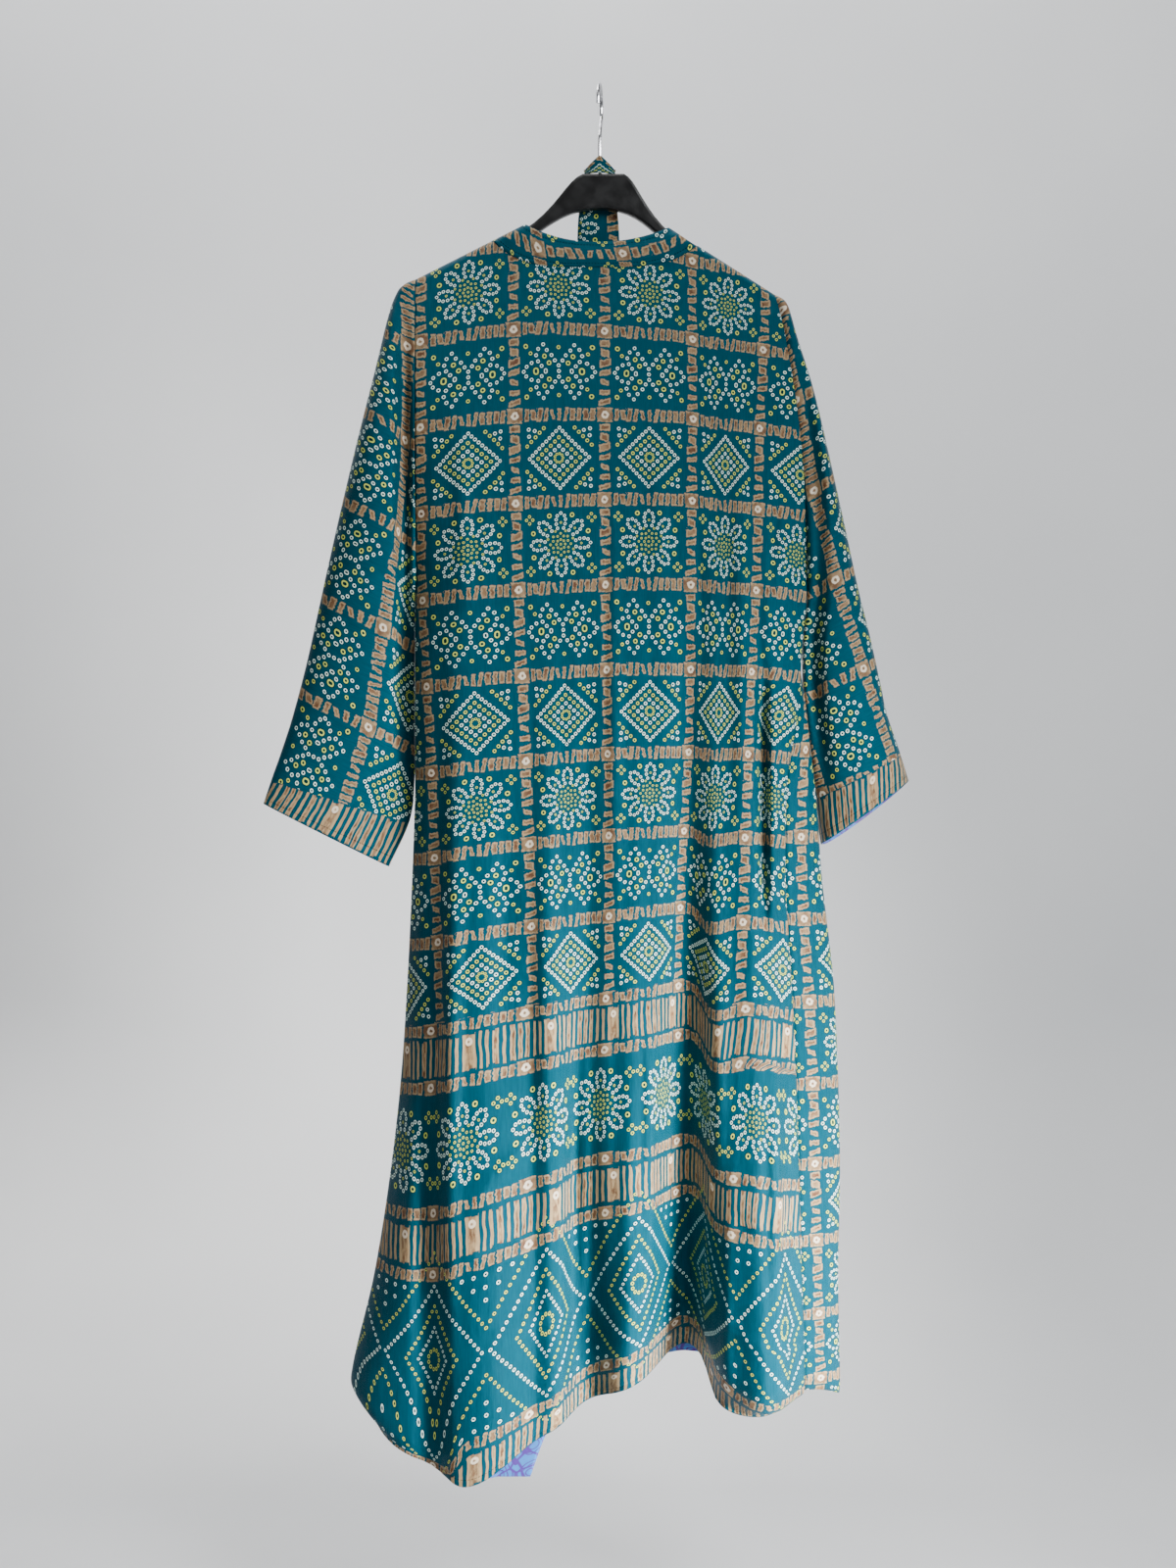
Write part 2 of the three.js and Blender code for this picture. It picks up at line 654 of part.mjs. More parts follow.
/** A point of a sleeve's cloth, from the back of the armhole round the fold to its front. */
function sleevePoint(side, column, innerDrop, seam) {
  const section = sleeveSection(side, innerDrop);
  const isBack = column <= SLEEVE_HALF_COLUMNS;
  const round = (isBack ? column : 2 * SLEEVE_HALF_COLUMNS - column) / SLEEVE_HALF_COLUMNS;
  const inArmhole = seam !== null;
  const innerX = inArmhole ? seam.x : section.inner;
  const halfGap = inArmhole ? Math.abs(seam.y) : 0;
  const opened = inArmhole ? rise(UNDERARM_ROW - seam.row, 0, 3) : 0;
  const shareTube = (1 - Math.cos(Math.PI * round)) / 2;
  const shareOpen = Math.sin(Math.PI * round / 2);
  const share = lerp(shareTube, shareOpen, opened);
  const x = lerp(innerX, section.outer, share);
  const swell = section.halfDepth * Math.sin(Math.PI * round) * lerp(1, 0.9, opened);
  const hang = halfGap * Math.cos(Math.PI * round / 2);
  const away = Math.abs(x - innerX) - SLEEVE_VALLEY.middle;
  const dip = isBack ? section.valley * bump(away / SLEEVE_VALLEY.halfWidth) : 0;
  const layer = isBack ? -1 : 1;
  const centre = inArmhole ? section.centre * (1 - opened) * share : section.centre;
  const y = centre + layer * (swell + hang) + dip;
  const far = isBack ? 0 : section.far * Math.sin(Math.PI * round);
  const drop = lerp(innerDrop, section.outerDrop, share) + far;
  return new THREE.Vector3(x, y, -drop);
}

function sleeveSheet(side, back) {
  const shape = side < 0 ? LEFT_SLEEVE : RIGHT_SLEEVE;
  const cuff = shape.inner_drop[shape.inner_drop.length - 1];
  const edge = side < 0 ? 0 : back.columns;
  const seams = range(0, UNDERARM_ROW).map((row) => ({ ...back.point(edge, row), row }));
  const start = -seams[UNDERARM_ROW].z;
  const lower = SLEEVE_LOWER_ROWS.map((share) => lerp(start, cuff, share));
  const columns = 2 * SLEEVE_HALF_COLUMNS;
  const rows = UNDERARM_ROW + lower.length;
  const sheet = new Sheet(columns, rows, -side, (i, j) => {
    if (j <= UNDERARM_ROW) {
      return sleevePoint(side, i, -seams[j].z, seams[j]);
    }
    return sleevePoint(side, i, lower[j - UNDERARM_ROW - 1], null);
  });
  range(0, columns).forEach((i) => sheet.normal(i, 0).copy(shoulderUp(side)));
  sew(sheet, sheet, range(UNDERARM_ROW + 1, rows).map((j) => (
    { atA: [0, j], inA: [1, j], atB: [columns, j], inB: [columns - 1, j] }
  )));
  return sheet;
}

/** The band in one strip: up the left front, round the neck and down the right front. */
function bandSheet() {
  const frontRows = ROWS.length - 1;
  const neck = range(NECK_LEFT + 1, NECK_RIGHT - 1);
  const stops = [
    ...range(0, frontRows).reverse().map((j) => frontStop(-1, ROWS[j])),
    ...neck.map((i) => neckStop(columnX(COLUMNS[i]))),
    ...range(0, frontRows).map((j) => frontStop(1, ROWS[j])),
  ];
  return new Sheet(BAND_COLUMNS, stops.length - 1, -1, (i, j) => {
    const { seam, free } = stops[j];
    return seam.clone().lerp(free, i / BAND_COLUMNS);
  });
}

function frontStop(side, down) {
  const edges = [bandSeam(side, down), bandEdge(side, down)];
  const [seam, free] = edges.map(({ x, drop }) => {
    return new THREE.Vector3(x, down === 0 ? 0 : frontDepth(side, x, drop), -drop);
  });
  return { seam, free };
}

function neckStop(x) {
  const share = (x - CORNER_LEFT) / (CORNER_RIGHT - CORNER_LEFT);
  const freeX = lerp(FRONT_EDGES.left[0], FRONT_EDGES.right[0], share);
  const places = [[x, neckSeamDrop(x)], [freeX, neckEdgeDrop(freeX)]];
  const [seam, free] = places.map(([px, drop]) => {
    const depth = track(DEPTHS.drop, DEPTHS.back, drop) * overHanger(px, drop);
    return new THREE.Vector3(px, -Math.max(RIDGE_HALF_GAP, depth), -drop);
  });
  return { seam, free };
}

/** Direction of a shoulder's ridge, away from the hanger. */
function shoulderUp(side) {
  const slope = side < 0 ? SHOULDER_LEFT.slope : SHOULDER_RIGHT.slope;
  return new THREE.Vector3(side * slope, 0, 1).normalize();
}

/** Sets the ridge rows of the body pieces and sews all of them together. */
function sewBody(back, fronts, sleeves, band) {
  const ridgeLeft = range(0, NECK_LEFT);
  const ridgeRight = range(NECK_RIGHT, back.columns);
  ridgeLeft.forEach((i) => back.normal(i, 0).copy(shoulderUp(-1)));
  ridgeRight.forEach((i) => back.normal(i, 0).copy(shoulderUp(1)));
  [-1, 1].forEach((side) => {
    const front = side < 0 ? fronts.left : fronts.right;
    const sleeve = side < 0 ? sleeves.left : sleeves.right;
    range(0, front.columns).forEach((i) => front.normal(i, 0).copy(shoulderUp(side)));
    const edge = side < 0 ? 0 : back.columns;
    const inside = side < 0 ? 1 : back.columns - 1;
    const rearward = new THREE.Vector3(0, -1, 0);
    const forward = new THREE.Vector3(0, 1, 0);
    back.normal(edge, UNDERARM_ROW).copy(rearward);
    sleeve.normal(0, UNDERARM_ROW).copy(rearward);
    front.normal(0, UNDERARM_ROW).copy(forward);
    sleeve.normal(sleeve.columns, UNDERARM_ROW).copy(forward);
    sew(back, sleeve, range(1, UNDERARM_ROW).map((j) => (
      { atA: [edge, j], inA: [inside, j], atB: [0, j], inB: [1, j] }
    )));
    sew(front, sleeve, range(1, UNDERARM_ROW).map((j) => (
      { atA: [0, j], inA: [1, j], atB: [sleeve.columns, j], inB: [sleeve.columns - 1, j] }
    )));
    sew(back, front, range(UNDERARM_ROW + 1, back.rows).map((j) => (
      { atA: [edge, j], inA: [inside, j], atB: [0, j], inB: [1, j] }
    )));
    back.pull(edge, 0, inside, 0);
    front.pull(0, 0, 1, 0);
    [0, 1, 2, UNDERARM_ROW].forEach((j) => {
      sleeve.pull(0, j, 1, j);
      sleeve.pull(sleeve.columns, j, sleeve.columns - 1, j);
    });
    const bandRow = (j) => (side < 0 ? front.rows - j : band.rows - front.rows + j);
    range(0, BAND_COLUMNS).forEach((i) => band.normal(i, bandRow(0)).copy(shoulderUp(side)));
    sew(front, band, range(0, front.rows).map((j) => (
      { atA: [front.columns, j], inA: [front.columns - 1, j], atB: [0, bandRow(j)], inB: [1, bandRow(j)] }
    )));
  });
  const firstNeck = fronts.left.rows;
  sew(back, band, range(NECK_LEFT + 1, NECK_RIGHT - 1).map((i) => (
    { atA: [i, 0], inA: [i, 1], atB: [0, firstNeck + i - NECK_LEFT], inB: [1, firstNeck + i - NECK_LEFT] }
  )));
  back.pull(NECK_LEFT, 0, NECK_LEFT - 1, 0);
  back.pull(NECK_RIGHT, 0, NECK_RIGHT + 1, 0);
}

/** Lining behind a front and its band near the hem, up to the band's free edge. */
function frontLiningSheet(front, band) {
  const apart = (wall) => -((wall + LINING_WALL) / 2 + LINING_GAP);
  const frontColumns = front.columns - LINING_FRONT.firstColumn;
  const firstRow = front.rows - LINING_FRONT.rows;
  return new Sheet(frontColumns + BAND_COLUMNS, LINING_FRONT.rows, front.facing, (i, j) => {
    const inFront = i <= frontColumns;
    const [sheet, column, row] = inFront
      ? [front, LINING_FRONT.firstColumn + i, firstRow + j]
      : [band, i - frontColumns, LINING_FRONT.rows - j];
    const wall = i < frontColumns ? SHELL_WALL : BAND_WALL;
    return sheet.point(column, row).clone().addScaledVector(sheet.normal(column, row), apart(wall));
  });
}

/** Sections along the belt: up one tail, round the foot of the hook and down the other. */
function beltStops() {
  const { middle, width, near, far, tailShort, tailLong } = BELT;
  const { top, foot, reach, radius, overTop, fan } = BELT_LOOP;
  const half = width / 2;
  const hang = (y, drop, spread, centre) => ({
    a: new THREE.Vector3(centre - half * spread, y, -drop),
    b: new THREE.Vector3(centre + half * spread, y, -drop),
  });
  const stand = (x, y, high, low) => ({
    a: new THREE.Vector3(x, y, -high),
    b: new THREE.Vector3(x, y, -low),
  });
  const tailA = [tailLong, 900, 700, 500, 340, 220, 160].map((drop) => hang(far, drop, 1, middle));
  const tailB = [160, 220, 340, 500, 700, 880, tailShort].map((drop) => hang(near, drop, 1, middle));
  const riseA = [
    hang(far, fan, 0.86, middle - 1),
    hang(far - 0.6, 108, 0.5, middle - 4),
    { a: new THREE.Vector3(-reach, 9.8, -95), b: new THREE.Vector3(-5, 9.8, -97) },
    { a: new THREE.Vector3(-reach - 1, 7.6, -88), b: new THREE.Vector3(-reach + 6, 7, -92.4) },
  ];
  const loop = [
    stand(-reach, 2, overTop - 1, foot),
    stand(-0.62 * reach, -3, 84, foot),
    stand(-0.3 * reach, -radius, 79.5, foot),
    stand(0, -radius - 1, top, foot),
    stand(0.3 * reach, -radius, 79.5, foot),
    stand(0.62 * reach, -3, 84, foot),
    stand(reach, 2, overTop - 1, foot),
  ];
  return { tailA, riseA, loop, tailB };
}

function beltSheet() {
  const { tailA, riseA, loop, tailB } = beltStops();
  const { reach, fan } = BELT_LOOP;
  const fanB = [
    { a: new THREE.Vector3(reach + 1, 7, -88), b: new THREE.Vector3(reach - 6, 7, -92.4) },
    { a: new THREE.Vector3(15, 7.8, -97), b: new THREE.Vector3(-3, 7.8, -97) },
    { a: new THREE.Vector3(18.5, BELT.near, -fan), b: new THREE.Vector3(-20, BELT.near, -fan) },
  ];
  const down = tailB.map(({ a, b }) => ({ a: b, b: a }));
  const stops = [...tailA, ...riseA, ...loop, ...fanB, ...down];
  return new Sheet(2, stops.length - 1, 1, (i, j) => stops[j].a.clone().lerp(stops[j].b, i / 2));
}

/** Outline of the flat hanger, drawn in x and z and given its depth along y. */
function hangerGeometry() {
  const level = (x, below = 0) => -(shoulderDrop(x) + HANGER_CLEARANCE + below);
  const { top, left, right } = HANGER_NECK;
  const { left: tipLeft, right: tipRight } = HANGER_TIPS;
  const arm = HANGER_ARM;
  const shape = new THREE.Shape();
  shape.moveTo(left, -top);
  shape.bezierCurveTo(-36, -(top + 6), -46, -133, -84, level(-84));
  shape.lineTo(tipLeft + 6, level(tipLeft + 6));
  shape.quadraticCurveTo(tipLeft, level(tipLeft), tipLeft, level(tipLeft, 8));
  shape.quadraticCurveTo(tipLeft, level(tipLeft, arm), tipLeft + 12, level(tipLeft + 12, arm));
  shape.lineTo(-74, level(-74, arm - 7));
  shape.bezierCurveTo(-50, -146, -34, -132.5, 0, -132);
  shape.bezierCurveTo(32, -132.5, 46, -146, 68, level(68, arm - 7));
  shape.lineTo(tipRight - 12, level(tipRight - 12, arm));
  shape.quadraticCurveTo(tipRight, level(tipRight, arm), tipRight, level(tipRight, 8));
  shape.quadraticCurveTo(tipRight, level(tipRight), tipRight - 6, level(tipRight - 6));
  shape.lineTo(78, level(78));
  shape.bezierCurveTo(46, -133, 40, -(top + 6), right, -top);
  shape.closePath();
  const geometry = new THREE.ExtrudeGeometry(shape, {
    depth: HANGER_DEPTH - 2 * HANGER_BEVEL,
    bevelThickness: HANGER_BEVEL,
    bevelSize: HANGER_BEVEL,
    bevelOffset: -HANGER_BEVEL,
    bevelSegments: 2,
    curveSegments: 8,
  });
  geometry.translate(0, 0, HANGER_BEVEL - HANGER_DEPTH / 2);
  geometry.rotateX(Math.PI / 2);
  return geometry;
}

/** The wire from the hanger up through the open loop that the rod carries. */
function hookGeometry() {
  const centreDrop = HOOK_RADIUS;
  const mid = HOOK_RADIUS + WIRE / 2;
  const onLoop = (degrees) => {
    const angle = THREE.MathUtils.degToRad(degrees);
    return new THREE.Vector3(0, mid * Math.cos(angle), mid * Math.sin(angle) - centreDrop);
  };
  const points = [
    new THREE.Vector3(0, 0, -HOOK_STEM_FOOT),
    new THREE.Vector3(0, 0, -80),
    new THREE.Vector3(0, 0, -64),
    new THREE.Vector3(0, 3, -50),
    ...HOOK_STOPS.map(onLoop),
  ];
  const route = new THREE.CatmullRomCurve3(points, false, 'centripetal');
  const section = new THREE.Shape();
  section.absarc(0, 0, WIRE / 2, 0, 2 * Math.PI, false);
  const geometry = new THREE.ExtrudeGeometry(section, {
    steps: HOOK_STEPS,
    extrudePath: route,
    curveSegments: 4,
    bevelEnabled: false,
  });
  geometry.rotateZ(-HOOK_TURN);
  return geometry;
}

const FINISHES = {
  silk: { color: 0x04686f, roughness: 0.45, metalness: 0 },
  lining: { color: 0x3a5fd0, roughness: 0.5, metalness: 0 },
  hanger: { color: 0x1b1b1d, roughness: 0.4, metalness: 0 },
  steel: { color: 0x9a9ca0, roughness: 0.3, metalness: 1 },
};

function piece(name, geometry, finish) {
  const material = new THREE.MeshStandardMaterial({ ...FINISHES[finish], side: THREE.FrontSide });
  const mesh = new THREE.Mesh(geometry, material);
  mesh.name = name;
  return mesh;
}

function build() {
  const back = backSheet();
  const fronts = { left: frontSheet(-1), right: frontSheet(1) };
  const sleeves = { left: sleeveSheet(-1, back), right: sleeveSheet(1, back) };
  const band = bandSheet();
  const belt = beltSheet();
  sewBody(back, fronts, sleeves, band);

  const inward = (SHELL_WALL + LINING_WALL) / 2 + LINING_GAP;
  const frontLining = frontLiningSheet(fronts.left, band);
  const cuff = sleeves.right;
  const cuffLining = cuff.layer(1, cuff.columns - 1, cuff.rows - LINING_CUFF_ROWS, cuff.rows, inward);

  const garment = new THREE.Group();
  garment.add(
    piece('back', back.wall(SHELL_WALL), 'silk'),
    piece('front_left', fronts.left.wall(SHELL_WALL), 'silk'),
    piece('front_right', fronts.right.wall(SHELL_WALL), 'silk'),
    piece('sleeve_left', sleeves.left.wall(SHELL_WALL), 'silk'),
    piece('sleeve_right', sleeves.right.wall(SHELL_WALL), 'silk'),
    piece('neck_band', band.wall(BAND_WALL), 'silk'),
    piece('belt', belt.wall(BELT_WALL), 'silk'),
    piece('lining_front_left', frontLining.wall(LINING_WALL), 'lining'),
    piece('lining_sleeve_right', cuffLining.wall(LINING_WALL), 'lining'),
    piece('hanger', hangerGeometry(), 'hanger'),
    piece('hook', hookGeometry(), 'steel'),
  );
  return garment;
}

export default build();
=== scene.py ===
"""A long printed silk kimono robe on a flat hanger, hung with its back to the camera.

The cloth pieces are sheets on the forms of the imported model, drawn from the same named sizes in
millimetres and finer, with their creases, and each has a map of its own flat cloth for the print.
"""
import json
import logging
import math
from dataclasses import dataclass
from enum import Enum
from functools import partialmethod, reduce

import bpy
import numpy as np
from bpy.types import Material, Mesh, Node, NodeSocket, NodeTree, Object
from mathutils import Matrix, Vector

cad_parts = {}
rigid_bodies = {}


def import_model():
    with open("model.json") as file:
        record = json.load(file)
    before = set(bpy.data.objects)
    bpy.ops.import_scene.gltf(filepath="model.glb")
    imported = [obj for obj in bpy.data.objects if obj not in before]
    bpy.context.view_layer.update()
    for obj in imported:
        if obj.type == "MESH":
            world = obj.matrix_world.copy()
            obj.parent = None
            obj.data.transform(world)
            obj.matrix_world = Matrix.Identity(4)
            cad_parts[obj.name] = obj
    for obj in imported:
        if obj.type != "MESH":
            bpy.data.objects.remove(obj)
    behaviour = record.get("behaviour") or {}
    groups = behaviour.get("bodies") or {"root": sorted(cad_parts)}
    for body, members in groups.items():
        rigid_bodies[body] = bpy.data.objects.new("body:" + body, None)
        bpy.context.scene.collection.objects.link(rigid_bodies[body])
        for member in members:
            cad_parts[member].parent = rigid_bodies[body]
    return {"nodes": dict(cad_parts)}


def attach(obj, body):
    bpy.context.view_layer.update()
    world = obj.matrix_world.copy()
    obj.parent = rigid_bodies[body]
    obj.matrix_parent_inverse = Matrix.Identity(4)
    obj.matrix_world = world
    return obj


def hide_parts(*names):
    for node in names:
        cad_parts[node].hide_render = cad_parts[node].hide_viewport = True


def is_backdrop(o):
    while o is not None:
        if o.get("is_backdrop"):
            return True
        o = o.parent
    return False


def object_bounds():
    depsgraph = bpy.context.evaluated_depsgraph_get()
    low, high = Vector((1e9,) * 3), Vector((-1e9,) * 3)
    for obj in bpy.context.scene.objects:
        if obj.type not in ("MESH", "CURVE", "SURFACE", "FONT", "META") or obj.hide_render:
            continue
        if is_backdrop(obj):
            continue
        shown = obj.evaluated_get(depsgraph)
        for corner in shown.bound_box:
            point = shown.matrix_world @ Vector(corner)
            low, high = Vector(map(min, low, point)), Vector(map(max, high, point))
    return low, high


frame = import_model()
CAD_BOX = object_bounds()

LOG = logging.getLogger("kimono")
MM = 0.001
TO_MM = 1000
BODY = "root"
Array = np.ndarray
Numbers = tuple[float, ...]
Pair = tuple[float, float]
Triple = tuple[float, float, float]
Colour = Numbers
Dots = tuple[Triple, ...]
Rungs = tuple[Dots, ...]
SMALL, PETAL, PLAIN, MEDIUM, LARGE = 1.35, 1.85, 2.15, 2.75, 3.3
DOT_COLOURS = ("White", "Yellow")
BAR_MASKS = ("Bar", "Core", "Ring")


class Side(Enum):
    """The two sides of the robe, with the sign of their X."""

    LEFT = -1
    RIGHT = 1

    @property
    def word(self) -> str:
        """The side's name in lower case."""
        return self.name.lower()

    @property
    def edge(self) -> float:
        """The side's own edge as a share of the width, 0 or 1."""
        return (self.value + 1) / 2

    def pick(self, pair: Pair) -> float:
        """The side's own number of a pair."""
        return pair[self is Side.RIGHT]


# Numbers and tables


def track(places: Array, values: Array, at: Array) -> Array:
    """Reads a smooth curve through values at places.

    Args:
        places: Rising places of the values.
        values: One value a place, or one array of at's shape a place.
        at: Where to read.

    Returns:
        The values at those places, held level beyond both ends.
    """
    places = np.asarray(places, float)
    at = np.asarray(at, float)
    values = np.asarray(values, float)
    if values.ndim == 1:
        values = values.reshape((-1,) + (1,) * at.ndim)
    values = np.broadcast_to(values, (len(places),) + at.shape)
    last = len(places) - 1
    here = np.clip(at, places[0], places[-1])
    k = np.clip(np.searchsorted(places, here, side="left") - 1, 0, last - 1)
    before, after = np.maximum(k - 1, 0), np.minimum(k + 2, last)
    v0, v1, vb, va = (np.take_along_axis(values, i[None], 0)[0] for i in (k, k + 1, before, after))
    span = places[k + 1] - places[k]
    slope0 = (v1 - vb) / (places[k + 1] - places[before])
    slope1 = (va - v0) / (places[after] - places[k])
    f = (here - places[k]) / span
    r = 1 - f
    start = r * r * (1 + 2 * f) * v0 + r * r * f * span * slope0
    return start + f * f * (3 - 2 * f) * v1 - f * f * r * span * slope1


def lerp(a: Array, b: Array, share: Array) -> Array:
    """Straight mix of a and b."""
    return a + (b - a) * share


def rise(value: Array, start: float, end: float) -> Array:
    """Smooth step from 0 at start to 1 at end."""
    f = np.clip((np.asarray(value, float) - start) / (end - start), 0, 1)
    return f * f * (3 - 2 * f)


def bump(distance: Array) -> Array:
    """Round bump of height 1 that ends at a distance of 1."""
    return np.where(np.abs(distance) < 1, (1 + np.cos(np.pi * distance)) / 2, 0)


def stacked(*parts: Array) -> Array:
    """Points or places from their numbers, of one shape."""
    return np.stack(np.broadcast_arrays(*parts), -1)


@dataclass(frozen=True)
class Table:
    """Columns of numbers, named by the words of a heading and read smoothly along the first."""

    heading: str
    rows: tuple[Numbers, ...]

    @property
    def names(self) -> list[str]:
        """The columns' names."""
        return self.heading.split()

    def column(self, name: str) -> Array:
        """One column as an array."""
        k = self.names.index(name)
        return np.array([row[k] for row in self.rows], float)

    def read(self, name: str, at: Array) -> Array:
        """One column read at places of the first column."""
        return track(self.column(self.names[0]), self.column(name), at)


@dataclass(frozen=True)
class Fold:
    """One fold down the cloth: a valley where depth is positive, a ridge where it is negative."""

    top: float
    hem: float
    start: float
    depth: float
    width_top: float
    width_hem: float
    early: float = 0.35

    def depth_at(self, x: Array, drop: Array, hem_drop: float) -> Array:
        """How far the fold presses the cloth in at each point.

        Args:
            x: Places across the robe.
            drop: Places down the robe.
            hem_drop: Where the fold is at its fullest.

        Returns:
            The depth in millimetres.
        """
        down = np.clip((drop - self.start) / (hem_drop - self.start), 0, 1)
        growth = down * (self.early + (1 - self.early) * down)
        middle = lerp(self.top, self.hem, down)
        half = lerp(self.width_top, self.width_hem, down)
        return self.depth * growth * bump((x - middle) / half)


@dataclass(frozen=True)
class Crease:
    """One short crease: a line between two points with a width and a height."""

    x0: float
    z0: float
    x1: float
    z1: float
    half: float
    depth: float

    def depth_at(self, x: Array, drop: Array) -> Array:
        """How far the crease presses the cloth in at each point.

        Args:
            x: Places across the robe.
            drop: Places down the robe.

        Returns:
            The depth in millimetres.
        """
        ax, az = self.x1 - self.x0, self.z1 - self.z0
        length = math.hypot(ax, az)
        along = ((x - self.x0) * ax + (drop - self.z0) * az) / length**2
        away = ((x - self.x0) * az - (drop - self.z0) * ax) / length
        return self.depth * bump(away / self.half) * bump(np.clip(2 * along - 1, -1, 1))


# Drape of the robe

LINES = Table(
    "cloth side_left margin lobe_left flank centre valley fold_left fold_right lobe_right side_right",
    (
        (-30, 155, 153, 147, 142, 146, 153, 156, 159, 166, 176),
        (0, 185, 183, 177, 172, 176, 183, 186, 189, 196, 206),
        (91, 277, 274, 268, 262, 265, 270, 273, 276, 281, 290),
        (273, 460, 458, 453, 449, 446, 447, 449, 452, 456, 462),
        (546, 737, 735, 729, 722, 716, 714, 714, 717, 716, 721),
        (819, 1013, 1008, 998, 985, 973, 962, 966, 990, 983, 994),
        (1047, 1258, 1265, 1251, 1225, 1197, 1183, 1184, 1212, 1222, 1232),
        (1215, 1389, 1428, 1433, 1400, 1358, 1327, 1332, 1372, 1396, 1388),
        (1262, 1408, 1449, 1476, 1431, 1390, 1355, 1360, 1402, 1413, 1392),
    ),
)
STATIONS = (0, 0.07, 0.165, 0.33, 0.5, 0.69, 0.735, 0.77, 0.86, 1)
HEM_TUCK = (0, 0, 0, 4, 12, 12, 14, 26, 36, 34)
FIRST_LINE, SECOND_LINE, HEM_LINE = 0, 91, 1262
TUCK_LINE = 1190
WIDTHS = Table("drop back_left back_right drawn_left out_left out_right", (
    (224, -197, 187, 0, -189, 181),
    (264, -197, 197, 0, -189, 190),
    (369, -197, 213, 0, -189, 205),
    (454, -197, 220, 0, -189, 212),
    (538, -197, 222, 0, -189, 214),
    (600, -197, 216, 0, -189, 214),
    (685, -197, 211, 0, -189, 222),
    (761, -197, 206, 0, -190, 231),
    (853, -197, 205, 3, -196, 238),
    (958, -200, 211, 5, -201, 250),
    (1063, -205, 216, 7, -208, 255),
    (1168, -210, 219, 14, -219, 257),
    (1273, -212, 222, 29, -235, 255),
    (1378, -212, 225, 53, -258, 257),
    (1490, -212, 225, 62, -262, 258),
))
DEPTHS = Table("drop back front", (
    (150, 8.5, 8.5), (190, 9, 9), (260, 14, 14), (400, 24, 21), (600, 34, 31), (800, 42, 40),
    (1000, 50, 48), (1200, 57, 54), (1490, 62, 58),
))
SIDE_SEAMS = Table("drop left right", (
    (530, 0.95, 0.95), (640, 6, 8), (760, 8, 20), (1000, 8, 26), (1490, 8, 30),
))
ARMHOLE = Table("share half_gap", ((0, 8), (0.1, 11), (0.35, 14), (0.65, 11), (0.85, 6), (1, 0.95)))
BACK_FOLDS = tuple(Fold(*row) for row in (
    (94, 88, 470, 86, 24, 48), (-12, -14, 560, 24, 14, 32), (40, 30, 420, -14, 16, 26),
    (-56, -46, 420, -12, 18, 26), (-120, -112, 620, -24, 50, 86), (158, 176, 600, -24, 34, 50),
    (-168, -176, 300, 10, 14, 26),
))
FRONT_FOLDS = tuple(Fold(*row) for row in (
    (-150, -176, 420, 16, 26, 44), (-90, -120, 520, -12, 24, 40), (70, 58, 460, -26, 20, 40),
    (138, 150, 520, 26, 22, 42),
))
FRONT_EDGES = Table("drop left right", (
    (150, -81, 75), (200, -73, 67), (300, -51, 46), (400, -29, 24), (490, -12, 3), (600, -10, 0),
    (900, -24, -13), (1200, -26, -32), (1360, -16, -44), (1408, -24, -46), (1456, -56, -48),
    (1508, -76, -49),
))
BAND_SLANT = Table("share extra", ((0, 0), (0.1, -9), (0.2, -12), (0.3, -18), (1, -18)))
ROWS = (
    0, 0.0012, 0.0035, 0.0075, 0.018, 0.04, 0.075, 0.115, 0.16, 0.205, 0.258, 0.3, 0.35, 0.41,
    0.47, 0.53, 0.59, 0.65, 0.71, 0.77, 0.83, 0.88, 0.925, 0.96, 0.983, 1,
)
UNDERARM_ROW = 10
SLEEVES = {
    Side.LEFT: Table("inner_drop inner outer outer_drop half_depth centre valley far", (
        (207, 197, 203, 210, 1, 0, 0, 0),
        (212, 197, 210, 215, 6, 0, 0, 0),
        (220, 197, 216, 221, 9, 0, 1, 0),
        (245, 197, 225, 244, 12, 0, 5, 0),
        (300, 197, 240, 305, 18, 0, 13, 0),
        (380, 197, 259, 380, 23, 0, 19, 0),
        (460, 197, 277, 455, 25, 0, 22, 0),
        (530, 197, 292, 520, 25, 2, 20, 0),
        (575, 198.6, 302, 562, 24, 8, 17, 0),
        (640, 199.4, 316, 622, 22, 12, 13, 0),
        (700, 199.4, 331, 678, 20, 12, 9, 0),
        (740, 199.6, 342, 712, 18, 12, 5, 0),
        (785, 204.4, 352, 741, 15, 10, 0, 0),
        (836, 227, 361, 769, 11, 8, 0, 2),
    )),
    Side.RIGHT: Table("inner_drop inner outer outer_drop half_depth centre valley far", (
        (224, 187, 193, 227, 1, 0, 0, 0),
        (230, 188, 199, 233, 6, 0, 0, 0),
        (238, 190, 203, 242, 9, 0, 1, 0),
        (262, 196, 210, 266, 12, 0, 4, 0),
        (315, 205, 226, 318, 17, 0, 8, 0),
        (390, 215, 244, 393, 20, 0, 9, 0),
        (465, 220, 261, 468, 22, 0, 9, 0),
        (540, 222, 277, 540, 24, 3, 8, 0),
        (590, 218.6, 289, 583, 26, 12, 12, 0),
        (650, 220.4, 302, 635, 28, 22, 12, 0),
        (700, 226, 311, 672, 30, 29, 9, 0),
        (750, 232, 323, 706, 32, 33, 4, 2),
        (785, 236.6, 331, 731, 34, 34, 0, 6),
        (812, 241, 335, 744, 35, 34, 0, 10),
    )),
}
